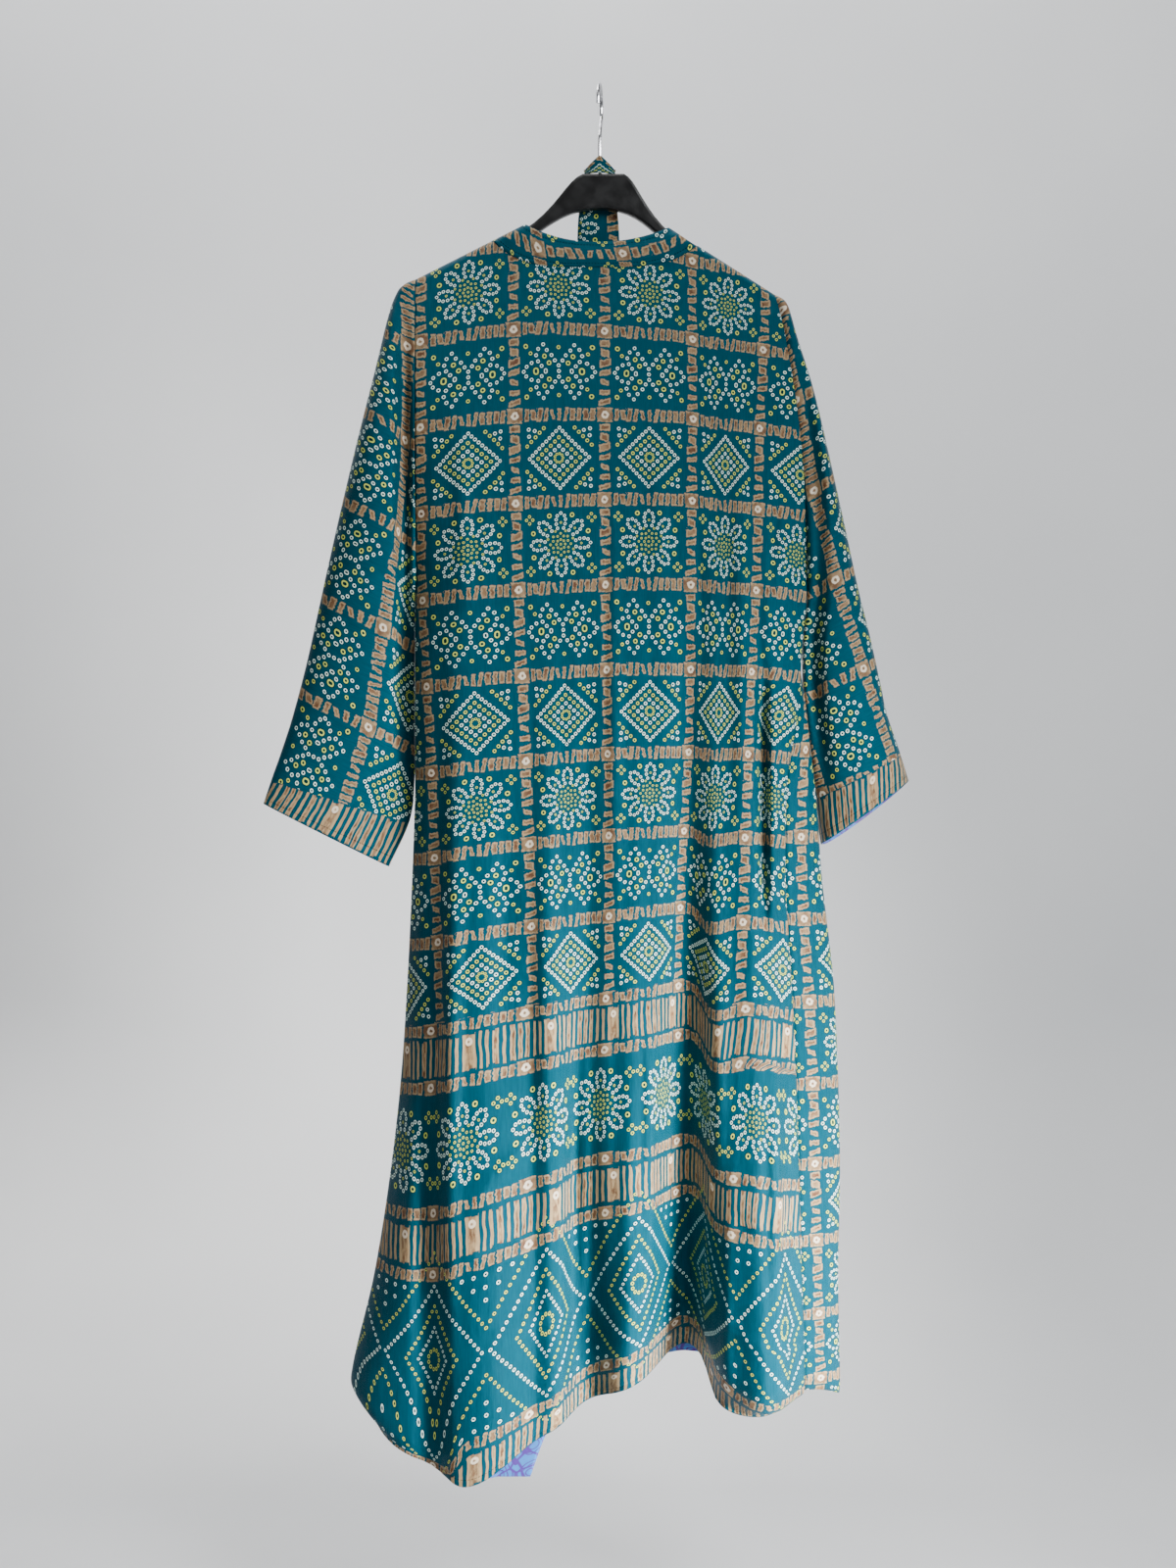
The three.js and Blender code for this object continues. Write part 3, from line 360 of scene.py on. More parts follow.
CHAINS = {
    Side.LEFT: Table("drop x u", (
        (330, 205, -250), (500, 217, -78), (581, 231, 0), (687, 247, 100), (791, 281, 200),
        (840, 300, 248),
    )),
    Side.RIGHT: Table("drop x u", (
        (262, 194, -280), (439, 229, -96), (531, 250, 0), (624, 282, 100), (724.5, 317, 200),
        (800, 342, 275),
    )),
}
CREASES = tuple(Crease(*row) for row in (
    (150, 260, 148, 900, 14, -5.5), (168, 420, 170, 1000, 9, 5), (14, 400, 20, 1120, 16, -5),
    (7, 190, 8, 900, 6, 2.2), (-62, 560, -50, 1460, 22, -7), (-26, 900, -30, 1440, 14, 13),
    (-96, 700, -100, 1100, 22, 4), (-150, 600, -165, 1440, 18, -6), (-186, 980, -190, 1430, 11, 5),
    (50, 900, 54, 1340, 9, -6), (182, 940, 186, 1420, 11, -7), (128, 1060, 120, 1420, 14, 6),
    (-140, 1180, -50, 1110, 10, -3.5), (-150, 1260, -60, 1200, 10, 3.5),
    (-120, 1330, -40, 1290, 9, -3), (118, 1180, 180, 1240, 9, 3.5), (110, 1300, 185, 1340, 9, -3.5),
    (190, 420, 178, 560, 8, 4), (104, 420, 112, 700, 9, 3), (-150, 300, -140, 620, 14, -3),
    (60, 300, 64, 620, 16, -3),
))
BACK_COLUMNS = (
    0, 0.025, 0.05, 0.08, 0.12, 0.16, 0.19, 0.2122, 0.2153, 0.2227, 0.237, 0.27, 0.31, 0.345,
    0.38, 0.415, 0.45, 0.485, 0.52, 0.555, 0.59, 0.625, 0.66, 0.7, 0.735, 0.7765, 0.7865, 0.81,
    0.84, 0.865, 0.89, 0.915, 0.94, 0.965, 0.985, 1,
)
BORDER, FAR_BORDER = 819.0, 9000.0
LINING_WALL = 0.7


@dataclass(frozen=True)
class Drape:
    """The hang of the robe's body: every cloth point from its place on the cloth.

    Shares across run from the left side seam to the right one, and shares down from the shoulder to
    the hem. Drops are millimetres below the hook's inside top.
    """

    corners: Pair = (0.2122, 0.7865)
    neck_x: float = -5.5
    neck_drop: float = 196.0
    neck_power: float = 4
    collar_x: float = -3.0
    collar_drop: float = 169.0
    collar_power: float = 2.2
    ridge_left: Triple = (168.0, -118.0, -0.505)
    ridge_right: Triple = (172.0, 105.0, 0.637)
    trim_power: float = 8
    hang_radius: float = 8.0
    ridge_gap: float = 0.4
    side_round: float = 0.14
    folds_from: float = 0.6
    drawn_share: float = 0.13
    band_width: float = 33.0
    band_widens: float = 0.12
    turn_reach: float = 8.0
    turn_share: float = 0.025
    turn_rows: Pair = (640.0, 760.0)
    hip_x: float = 174.0
    hip_half: float = 9.0
    hip_depth: float = 16.0
    hip_rows: Numbers = (590.0, 700.0, 830.0, 930.0)
    curl_share: float = 0.16
    curl_start: float = 1196.0
    curl_power: float = 1.5
    curl_to: Pair = (-130.0, 8.0)
    curl_corner: float = 0.085
    curl_front: Pair = (0.25, 0.6)
    front_hem: Pair = (1508.0, 1364.0)
    front_sag: Pair = (34.0, -10.0)
    front_tip: Pair = (0.0, 11.0)
    front_top: float = 0.2
    front_reach: Pair = (0.08, 0.1)
    front_bulge: Pair = (-0.02, 0.12)
    front_step: float = 15.0
    front_turn: Triple = (0.22, 0.5, 0.88)
    front_places: Triple = (0.75, 0.06, 0.4)
    front_calm: Numbers = (0.15, 0.4, 0.85, 1)
    sag_from: float = 0.5
    tip_from: float = 0.8
    knots: Numbers = (0, 0.09, 0.2, 0.34, 0.55, 1)
    lap: float = 3.5
    lap_rows: Pair = (960.0, 1120.0)
    sleeve_rows: float = 3
    sleeve_swell: float = 0.9
    valley_from: float = 12.0
    valley_half: float = 13.0

    def column_x(self, across: Array) -> Array:
        """X of a share of the shoulder width."""
        left, right = WIDTHS.column("back_left")[0], WIDTHS.column("back_right")[0]
        return lerp(left, right, np.asarray(across, float))

    def shoulder(self, x: Array) -> Array:
        """Drop of the shoulder ridge at x.

        Args:
            x: Places across the robe.

        Returns:
            The drop.
        """
        x = np.asarray(x, float)
        left, right = (drop + (x - at) * slope for drop, at, slope in (self.ridge_left, self.ridge_right))
        return np.where(x < self.neck_x, left, right)

    def over_hanger(self, x: Array, drop: Array) -> Array:
        """How far the cloth has turned from the ridge to its full depth."""
        below = np.clip((drop - self.shoulder(x)) / self.hang_radius, 0, 1)
        return np.sqrt(1 - (1 - below) ** 2)

    def arch(self, x: Array, ends: Pair, middle: float, drop: float, power: float) -> Array:
        """Drop of a line across the neck, level in its middle and up to the shoulder at its ends.

        Args:
            x: Places across the robe.
            ends: X of its two ends.
            middle: X of its middle.
            drop: Drop of its middle.
            power: How suddenly it climbs.

        Returns:
            The drop.
        """
        end = np.where(x < middle, *ends)
        away = np.minimum(1, np.abs((x - middle) / (end - middle)) ** power)
        return drop - (drop - self.shoulder(end)) * away

    def neck_seam(self, x: Array) -> Array:
        """Drop of the neck seam at x."""
        ends = tuple(self.column_x(corner) for corner in self.corners)
        return self.arch(x, ends, self.neck_x, self.neck_drop, self.neck_power)

    def neck_edge(self, x: Array) -> Array:
        """Drop of the band's free edge across the back neck."""
        ends = tuple(FRONT_EDGES.column(side.word)[0] for side in Side)
        return self.arch(x, ends, self.collar_x, self.collar_drop, self.collar_power)

    def line_drop(self, across: Array, cloth: Array) -> Array:
        """Drop of a cloth line at a share of the width.

        Args:
            across: Shares of the width.
            cloth: The line's distance down the flat cloth.

        Returns:
            The drop.
        """
        across = np.asarray(across, float)
        stack = np.array([track(STATIONS, row[1:], across) for row in LINES.rows])
        return track(LINES.column("cloth"), stack, np.broadcast_to(cloth, across.shape))

    def back_drop(self, across: Array, down: Array) -> tuple[Array, Array]:
        """Place down the cloth and drop of a point of the back.

        Args:
            across: Share of the width.
            down: Share of the length.

        Returns:
            The distance down the cloth and the drop.
        """
        x = self.column_x(across)
        inside = (across > self.corners[0]) & (across < self.corners[1])
        top = np.where(inside, self.neck_seam(x), self.shoulder(x))
        first, second = (self.line_drop(across, np.full_like(x, line)) for line in (FIRST_LINE, SECOND_LINE))
        top_line = (top - first) * (SECOND_LINE - FIRST_LINE) / (second - first)
        cloth = lerp(top_line, HEM_LINE, down)
        trim = (top - self.line_drop(across, top_line)) * (1 - down) ** self.trim_power
        return cloth, self.line_drop(across, cloth) + trim

    def underarm(self, side: Side) -> float:
        """Drop of the underarm."""
        return float(self.back_drop(np.array(side.edge), np.array(ROWS[UNDERARM_ROW]))[1])

    def side_depth(self, side: Side, drop: Array) -> Array:
        """Depth of the back's side edge.

        Args:
            side: Which edge.
            drop: Places down it.

        Returns:
            The depth, first along the armhole and then along the side seam.
        """
        top = float(self.shoulder(WIDTHS.column(f"back_{side.word}")[0]))
        under = self.underarm(side)
        gap = ARMHOLE.read("half_gap", (drop - top) / (under - top))
        return np.where(drop < under, gap, SIDE_SEAMS.read(side.word, drop))

    def curled(self, xyz: Array, cloth: Array, weight: Array) -> Array:
        """Draws the hem's left corner in under the robe.

        Args:
            xyz: Points.
            cloth: Their distance down the flat cloth.
            weight: How much each one takes part.

        Returns:
            The moved points.
        """
        share = self.curl_share * weight * rise(cloth, self.curl_start, HEM_LINE) ** self.curl_power
        to_x, to_y = self.curl_to
        return stacked(lerp(xyz[..., 0], to_x, share), lerp(xyz[..., 1], to_y, share), xyz[..., 2])

    def back(self, across: Array, down: Array, creases: tuple[Crease, ...] = ()) -> Array:
        """Points of the back panel.

        Args:
            across: Shares of the width.
            down: Shares of the length, of the same shape.
            creases: Short creases pressed into the panel.

        Returns:
            Points in millimetres.
        """
        cloth, drop = self.back_drop(across, down)
        turn = rise(across, 1 - self.turn_share, 1) * rise(drop, *self.turn_rows)
        drawn = WIDTHS.read("drawn_left", drop) * (1 - rise(across, 0, self.drawn_share))
        x = lerp(WIDTHS.read("back_left", drop), WIDTHS.read("back_right", drop), across)
        x = x - self.turn_reach * turn - drawn
        near = np.clip(np.minimum(across, 1 - across) / self.side_round, 0, 1)
        left, right = (self.side_depth(side, drop) for side in Side)
        plateau = 1 - (1 - near) ** 2
        depth = lerp(np.where(across < 0.5, left, right), DEPTHS.read("back", drop), plateau)
        depth = depth * self.over_hanger(x, drop)
        folds = sum(one.depth_at(x, drop, LINES.column("centre")[-1]) for one in BACK_FOLDS)
        hip = rise(drop, *self.hip_rows[:2]) * (1 - rise(drop, *self.hip_rows[2:]))
        folds = folds + self.hip_depth * hip * bump((x - self.hip_x) / self.hip_half)
        folds = folds * rise(near, 0, self.folds_from) + sum(one.depth_at(x, drop) for one in creases)
        tuck = track(STATIONS, HEM_TUCK, across) * rise(cloth, TUCK_LINE, HEM_LINE)
        y = -np.maximum(self.ridge_gap, depth) + folds + tuck
        return self.curled(stacked(x, y, -drop), cloth, 1 - rise(across, 0, self.curl_corner))

    def band_edge(self, side: Side, down: Array) -> tuple[Array, Array]:
        """X and drop of the band's free edge on a front.

        Args:
            side: Which front.
            down: Shares of its length.

        Returns:
            X and the drop.
        """
        top = float(self.shoulder(FRONT_EDGES.column(side.word)[0]))
        drop = lerp(top, side.pick(self.front_hem), down)
        return FRONT_EDGES.read(side.word, drop), drop

    def band_seam(self, side: Side, down: Array) -> tuple[Array, Array]:
        """X and drop of the seam between a front and its band.

        Args:
            side: Which front.
            down: Shares of its length.

        Returns:
            X and the drop.
        """
        x, drop = self.band_edge(side, down)
        corner = float(self.column_x(side.pick(self.corners)))
        end = FRONT_EDGES.column(side.word)[0]
        width = lerp(abs(corner - end), self.band_width, rise(down, 0, self.band_widens))
        slant = float(self.shoulder(corner) - self.shoulder(end)) + BAND_SLANT.read("extra", down)
        return x + side.value * width, drop + np.maximum(0, slant)

    def front_depth(self, side: Side, x: Array, drop: Array) -> Array:
        """Depth of a side's flat front, the left one lapped over the right one."""
        full = DEPTHS.read("front", drop) * self.over_hanger(x, drop)
        return np.maximum(self.ridge_gap, full) - side.value * self.lap * rise(drop, *self.lap_rows)

    def front(self, side: Side, across: Array, down: Array) -> Array:
        """Points of a front panel, from the side seam to the band.

        Args:
            side: Which front.
            across: Shares of the width.
            down: Shares of the length, of the same shape.

        Returns:
            Points in millimetres.
        """
        seam = self.back(np.full_like(down, side.edge), down)
        sx, sy, drop0 = seam[..., 0], seam[..., 1], -seam[..., 2]
        under = ROWS[UNDERARM_ROW]
        opened = np.where(down <= under + 1e-9, np.abs(sy), sy)
        bx, bdrop = self.band_seam(side, down)
        flat, edge_y = self.front_depth(side, sx, drop0), self.front_depth(side, bx, bdrop)
        below_top = rise(down, 0, self.front_top)
        reach = lerp(sx, bx, self.front_reach[0] + self.front_reach[1] * (1 - below_top))
        out = np.where(down < under, reach, WIDTHS.read(f"out_{side.word}", drop0))
        bulge = lerp(reach, out, rise(down, *(under + row for row in self.front_bulge)))
        first, second, third = self.front_places
        step = bulge - side.value * self.front_step * below_top + (bx - bulge) * second
        xs = np.array([sx, lerp(sx, bulge, first), bulge, step, lerp(bulge, bx, third), bx])
        ys = np.array([opened, *(lerp(opened, flat, share) for share in self.front_turn), flat, edge_y])
        x = track(self.knots, xs, across)
        spread = np.clip((x - sx) / (bx - sx), 0, 1)
        sag = side.pick(self.front_sag) * np.sin(np.pi * spread) * rise(down, self.sag_from, 1)
        tip = bump((across - self.knots[2]) / self.knots[2]) * rise(down, self.tip_from, 1)
        drop = lerp(drop0, bdrop, spread) + sag + side.pick(self.front_tip) * tip
        calm = rise(across, *self.front_calm[:2]) * (1 - rise(across, *self.front_calm[2:]))
        folds = sum(one.depth_at(x, drop, side.pick(self.front_hem)) for one in FRONT_FOLDS) * calm
        y = np.where(down == 0, self.ridge_gap, track(self.knots, ys, across) + folds)
        points = stacked(x, y, -drop)
        if side is Side.RIGHT:
            return points
        curled = self.curled(points, HEM_LINE * down, 1 - rise(across, *self.curl_front))
        return np.where((across == 0)[..., None], stacked(sx, opened, -drop0), curled)

    def sleeve(self, side: Side, around: Array, place: Array) -> Array:
        """Points of a sleeve, from the back of the armhole round the fold to its front.

        Args:
            side: Which sleeve.
            around: 0 at the back seam, 1 at the outer fold, 2 at the front seam.
            place: Rows: up to UNDERARM_ROW along the armhole, then on to 1 beyond it at the cuff.

        Returns:
            Points in millimetres.
        """
        table = SLEEVES[side]
        in_arm, is_back = place <= UNDERARM_ROW, around <= 1
        down = np.interp(np.minimum(place, UNDERARM_ROW), range(len(ROWS)), ROWS)
        seam = self.back(np.full_like(down, side.edge), down)
        beyond, cuff = np.clip(place - UNDERARM_ROW, 0, 1), table.column("inner_drop")[-1]
        inner_drop = np.where(in_arm, -seam[..., 2], lerp(self.underarm(side), cuff, beyond))
        size = {name: table.read(name, inner_drop) for name in table.names[1:]}
        turned = np.where(is_back, around, 2 - around)
        inner_x = np.where(in_arm, seam[..., 0], side.value * size["inner"])
        half_gap = np.where(in_arm, np.abs(seam[..., 1]), 0)
        opened = np.where(in_arm, rise(UNDERARM_ROW - place, 0, self.sleeve_rows), 0)
        share = lerp((1 - np.cos(np.pi * turned)) / 2, np.sin(np.pi * turned / 2), opened)
        x = lerp(inner_x, side.value * size["outer"], share)
        swell = size["half_depth"] * np.sin(np.pi * turned) * lerp(1, self.sleeve_swell, opened)
        hang = half_gap * np.cos(np.pi * turned / 2)
        dip = size["valley"] * bump((np.abs(x - inner_x) - self.valley_from) / self.valley_half)
        centre = np.where(in_arm, size["centre"] * (1 - opened) * share, size["centre"])
        y = centre + np.where(is_back, -1, 1) * (swell + hang) + np.where(is_back, dip, 0)
        far = np.where(is_back, 0, size["far"] * np.sin(np.pi * turned))
        return stacked(x, y, -(lerp(inner_drop, size["outer_drop"], share) + far))


# Meshes


def deselect() -> None:
    """Clears the selection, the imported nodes' own included."""
    bpy.ops.object.select_all(action="DESELECT")
    for one in bpy.context.scene.objects:
        one.select_set(False)


def take_up(obj: Object) -> None:
    """Makes one object the only selected and active one.

    Args:
        obj: The object.
    """
    deselect()
    obj.select_set(True)
    bpy.context.view_layer.objects.active = obj


def lengths(points: Array, axis: int) -> Array:
    """Running length along one axis of a grid of points.

    Args:
        points: The grid.
        axis: 0 down it, 1 across it.

    Returns:
        The length at each point, from 0.
    """
    steps = np.linalg.norm(np.diff(points, axis=axis), axis=-1)
    zero = np.zeros_like(np.take(steps, [0], axis=axis))
    return np.concatenate([zero, np.cumsum(steps, axis=axis)], axis=axis)


def fine(values: Numbers, parts: int) -> Array:
    """Splits each step of a list of places into equal parts."""
    steps = np.linspace(0, len(values) - 1, (len(values) - 1) * parts + 1)
    return np.interp(steps, range(len(values)), values)


def facing(points: Array) -> Array:
    """Unit direction across a sheet's cloth at each point of its grid."""
    normal = np.cross(np.gradient(points, axis=1), np.gradient(points, axis=0))
    return normal / np.maximum(np.linalg.norm(normal, axis=-1, keepdims=True), 1e-9)


def strip(first: Array, second: Array, share: Array) -> Array:
    """Grid of points between two edges, at shares from the first one to the second."""
    return first[:, None] + (second - first)[:, None] * share[None, :, None]


@dataclass
class Cloth:
    """A sheet of cloth: a grid of points in millimetres with its places on the flat print.

    From cuff_row on, the print is read from cuff_map in place of print_map. Where print_map is left
    out, the print lies straight on the sheet, and edge_map then runs up from its last row.
    """

    name: str
    points: Array
    print_map: Array | None = None
    edge_map: Array | None = None
    outward: int = 1
    hung_from: tuple[str, ...] = ("hanger",)
    wall: float = 1.2
    cuff_row: int | None = None
    cuff_map: Array | None = None

    def __post_init__(self) -> None:
        """Lays a straight print on a sheet that brings none."""
        if self.print_map is None:
            run, fall = lengths(self.points, 1), lengths(self.points, 0)
            self.print_map = stacked(run, fall)
            self.edge_map = stacked(run, fall[-1:] - fall)

    def cut(self) -> Triple:
        """Width, length and area of the flat cloth of this sheet, in metres.

        Returns:
            The three measures.
        """
        across, down = np.diff(self.points, axis=1), np.diff(self.points, axis=0)
        halves = np.cross(across[:-1], down[:, :-1]), np.cross(across[1:], down[:, 1:])
        area = sum(np.linalg.norm(half, axis=-1) for half in halves).sum() / 2
        width, length = lengths(self.points, 1)[:, -1].max(), lengths(self.points, 0)[-1].max()
        return width * MM, length * MM, area * MM * MM

    def mesh(self) -> Mesh:
        """Makes the bare mesh with its two maps.

        Returns:
            The mesh, still without a wall.
        """
        rows, columns = self.points.shape[:2]
        index = np.arange(rows * columns).reshape(rows, columns)
        quads = stacked(index[:-1, :-1], index[:-1, 1:], index[1:, 1:], index[1:, :-1]).reshape(-1, 4)
        if self.outward > 0:
            quads = quads[:, ::-1]
        mesh = bpy.data.meshes.new(self.name)
        mesh.from_pydata((self.points.reshape(-1, 3) * MM).tolist(), [], quads.tolist())
        maps = {"print": self.print_map, "edge": self.edge_map}
        maps = {name: (flat.reshape(-1, 2) * MM)[quads] for name, flat in maps.items()}
        if self.cuff_row is not None:
            is_cuff = np.arange(len(quads)) // (columns - 1) >= self.cuff_row
            maps["print"][is_cuff] = (self.cuff_map.reshape(-1, 2) * MM)[quads[is_cuff]]
        for name, flat in maps.items():
            mesh.uv_layers.new(name=name).data.foreach_set("uv", flat.reshape(-1))
        return mesh

    def build(self, outside: Material, inside: Material) -> Object:
        """Makes the sheet with its wall and its two sides, and states its cut.

        Args:
            outside: Finish of the outer side and the edges.
            inside: Finish of the inner side.

        Returns:
            The finished object, at the origin.
        """
        obj = bpy.data.objects.new(self.name, self.mesh())
        bpy.context.scene.collection.objects.link(obj)
        for material in (outside, inside):
            obj.data.materials.append(material)
        take_up(obj)
        solid = obj.modifiers.new("wall", "SOLIDIFY")
        solid.thickness = self.wall * MM
        solid.offset = 0
        solid.use_even_offset = False
        solid.material_offset = 1
        bpy.ops.object.modifier_apply(modifier=solid.name)
        bpy.ops.object.shade_smooth()
        width, length, area = self.cut()
        list(self.hung_from)
        faces = len(obj.data.polygons)
        LOG.info("%s: cut %.3f x %.3f m, %.3f m2, %d faces", self.name, width, length, area, faces)
        return obj


# Drawing in nodes


class Value:
    """An output in a node tree, reckoned with as a number is."""

    def __init__(self, chart: "Chart", socket: NodeSocket) -> None:
        """Keeps the chart and the socket."""
        self.chart, self.socket = chart, socket

    def reckon(self, operation: str, *others: object) -> "Value":
        """One math node of this value and others."""
        return self.chart.math(operation, self, *others)

    def taken_from(self, other: object) -> "Value":
        """Another number less this one."""
        return self.chart.math("SUBTRACT", other, self)

    def step(self, low: float, high: float, start: float = 0, end: float = 1) -> "Value":
        """Smooth step from start at low to end at high."""
        ins = (self, low, high, start, end)
        return self.chart.made("ShaderNodeMapRange", ins, interpolation_type="SMOOTHSTEP")

    def fall(self, low: float, high: float) -> "Value":
        """Smooth step from 1 at low to 0 at high."""
        return self.step(low, high, 1, 0)

    __add__ = partialmethod(reckon, "ADD")
    __sub__ = partialmethod(reckon, "SUBTRACT")
    __rsub__ = taken_from
    __mul__ = partialmethod(reckon, "MULTIPLY")
    __truediv__ = partialmethod(reckon, "DIVIDE")
    __mod__ = partialmethod(reckon, "FLOORED_MODULO")
    __lt__ = partialmethod(reckon, "LESS_THAN")
    __gt__ = partialmethod(reckon, "GREATER_THAN")
    __abs__ = partialmethod(reckon, "ABSOLUTE")
    least = partialmethod(reckon, "MINIMUM")
    most = partialmethod(reckon, "MAXIMUM")
    scaled = partialmethod(reckon, "MULTIPLY_ADD")
    fold = partialmethod(reckon, "PINGPONG")
    floor = partialmethod(reckon, "FLOOR")


class Chart:
    """A node tree that is drawn by short calls, most of which return a value."""

    def __init__(self, tree: NodeTree, ends: dict | None = None) -> None:
        """Keeps the tree to draw in and, in a group, its output sockets by name."""
        self.tree, self.ends = tree, ends

    def add(self, kind: str, **facts: object) -> Node:
        """Adds one node and sets its own facts.

        Args:
            kind: The node's type.
            facts: Its own facts by name.

        Returns:
            The node.
        """
        node = self.tree.nodes.new(kind)
        for name, value in facts.items():
            setattr(node, name, value)
        return node

    def put(self, socket: NodeSocket, value: object) -> None:
        """Links or sets one input socket.

        Args:
            socket: The input.
            value: A value to link, or a constant to set.
        """
        if isinstance(value, Value):
            self.tree.links.new(value.socket, socket)
        else:
            socket.default_value = value

    def made(self, kind: str, ins: object, out: object = 0, **facts: object) -> Value:
        """Adds a node, feeds its inputs and gives one of its outputs.

        Args:
            kind: The node's type.
            ins: Inputs by their names or numbers, or the first ones in order.
            out: Name or number of the output.
            facts: The node's own facts.

        Returns:
            The output.
        """
        node = self.add(kind, **facts)
        for key, value in (ins if isinstance(ins, dict) else dict(enumerate(ins))).items():
            self.put(node.inputs[key], value)
        return Value(self, node.outputs[out])

    def give(self, **values: Value) -> NodeTree:
        """Feeds the group's outputs by name and gives the finished group.

        Args:
            values: The values by the names of the outputs.

        Returns:
            The group.
        """
        for name, value in values.items():
            self.put(self.ends[name], value)
        return self.tree

    def use(self, group: NodeTree, **values: object) -> dict[str, Value]:
        """Places a group, feeds its inputs by name and gives its outputs by name.

        Args:
            group: The group.
            values: Values or constants by input.

        Returns:
            The outputs by name.
        """
        node = self.add("ShaderNodeGroup", node_tree=group)
        for name, value in values.items():
            self.put(node.inputs[name], value)
        return {socket.name: Value(self, socket) for socket in node.outputs}

    def math(self, operation: str, *values: object, clamp: bool = False) -> Value:
        """One math node."""
        return self.made("ShaderNodeMath", values, operation=operation, use_clamp=clamp)

    def point(self, x: object, y: object) -> Value:
        """A vector of two numbers."""
        return self.made("ShaderNodeCombineXYZ", (x, y))

    def distance(self, place: Value, x: float, y: float) -> Value:
        """Distance of a place from a fixed point."""
        return self.made("ShaderNodeVectorMath", (place, (x, y, 0)), "Value", operation="DISTANCE")

    def nearest(self, place: Value, dots: Dots) -> Value:
        """Distance to the nearest of many dots, over each dot's own radius."""
        return reduce(Value.least, [self.distance(place, x, y) / radius for x, y, radius in dots])

    def arm(self, x: Value, y: Value, count: int) -> Value:
        """A place folded into half of one of the equal arms round the middle.

        Args:
            x: Place to the right.
            y: Place up.
            count: Number of arms.

        Returns:
            The folded place.
        """
        radius = self.made("ShaderNodeVectorMath", (self.point(x, y),), "Value", operation="LENGTH")
        turn = self.math("ARCTAN2", y, x).fold(math.pi / count)
        return self.point(radius * turn.reckon("COSINE"), radius * turn.reckon("SINE"))

    def mix(self, share: object, a: object, b: object) -> Value:
        """Mix of two colours."""
        return self.made("ShaderNodeMix", {"Factor": share, 6: a, 7: b}, 2, data_type="RGBA")

    def choose(self, share: object, a: object, b: object) -> Value:
        """Mix of two numbers."""
        return self.made("ShaderNodeMix", {"Factor": share, 2: a, 3: b}, 0, data_type="FLOAT")

    def noise(self, place: Value, scale: float, detail: float = 2) -> Value:
        """Noise value at a place."""
        return self.made("ShaderNodeTexNoise", {"Vector": place, "Scale": scale, "Detail": detail}, "Fac")

    def chance(self, number: Value) -> Value:
        """A fixed chance value from 0 to 1 for a whole number."""
        return self.made("ShaderNodeTexWhiteNoise", {"W": number}, "Value", noise_dimensions="1D")

    def raised(self, height: Value, strength: float, distance: float) -> Value:
        """Normal of a surface raised by a height."""
        ins = {"Strength": strength, "Distance": distance, "Height": height}
        return self.made("ShaderNodeBump", ins)


def new_group(
    name: str, ins: dict[str, float], outs: tuple[str, ...], colours: tuple[str, ...] = ()
) -> tuple:
    """Starts a node group.

    Args:
        name: Name of the group.
        ins: Input names with their values.
        outs: Output names, all numbers but the colours.
        colours: The outputs that are colours.

    Returns:
        The chart to draw in, then each input's value.
    """
    tree = bpy.data.node_groups.new(name, "ShaderNodeTree")
    for word, value in ins.items():
        socket = tree.interface.new_socket(name=word, in_out="INPUT", socket_type="NodeSocketFloat")
        socket.default_value = value
    for word in outs:
        kind = "NodeSocketColor" if word in colours else "NodeSocketFloat"
        tree.interface.new_socket(name=word, in_out="OUTPUT", socket_type=kind)
    chart = Chart(tree)
    start, end = chart.add("NodeGroupInput"), chart.add("NodeGroupOutput")
    chart.ends = {word: end.inputs[word] for word in outs}
    return chart, *(Value(chart, start.outputs[word]) for word in ins)


# The print


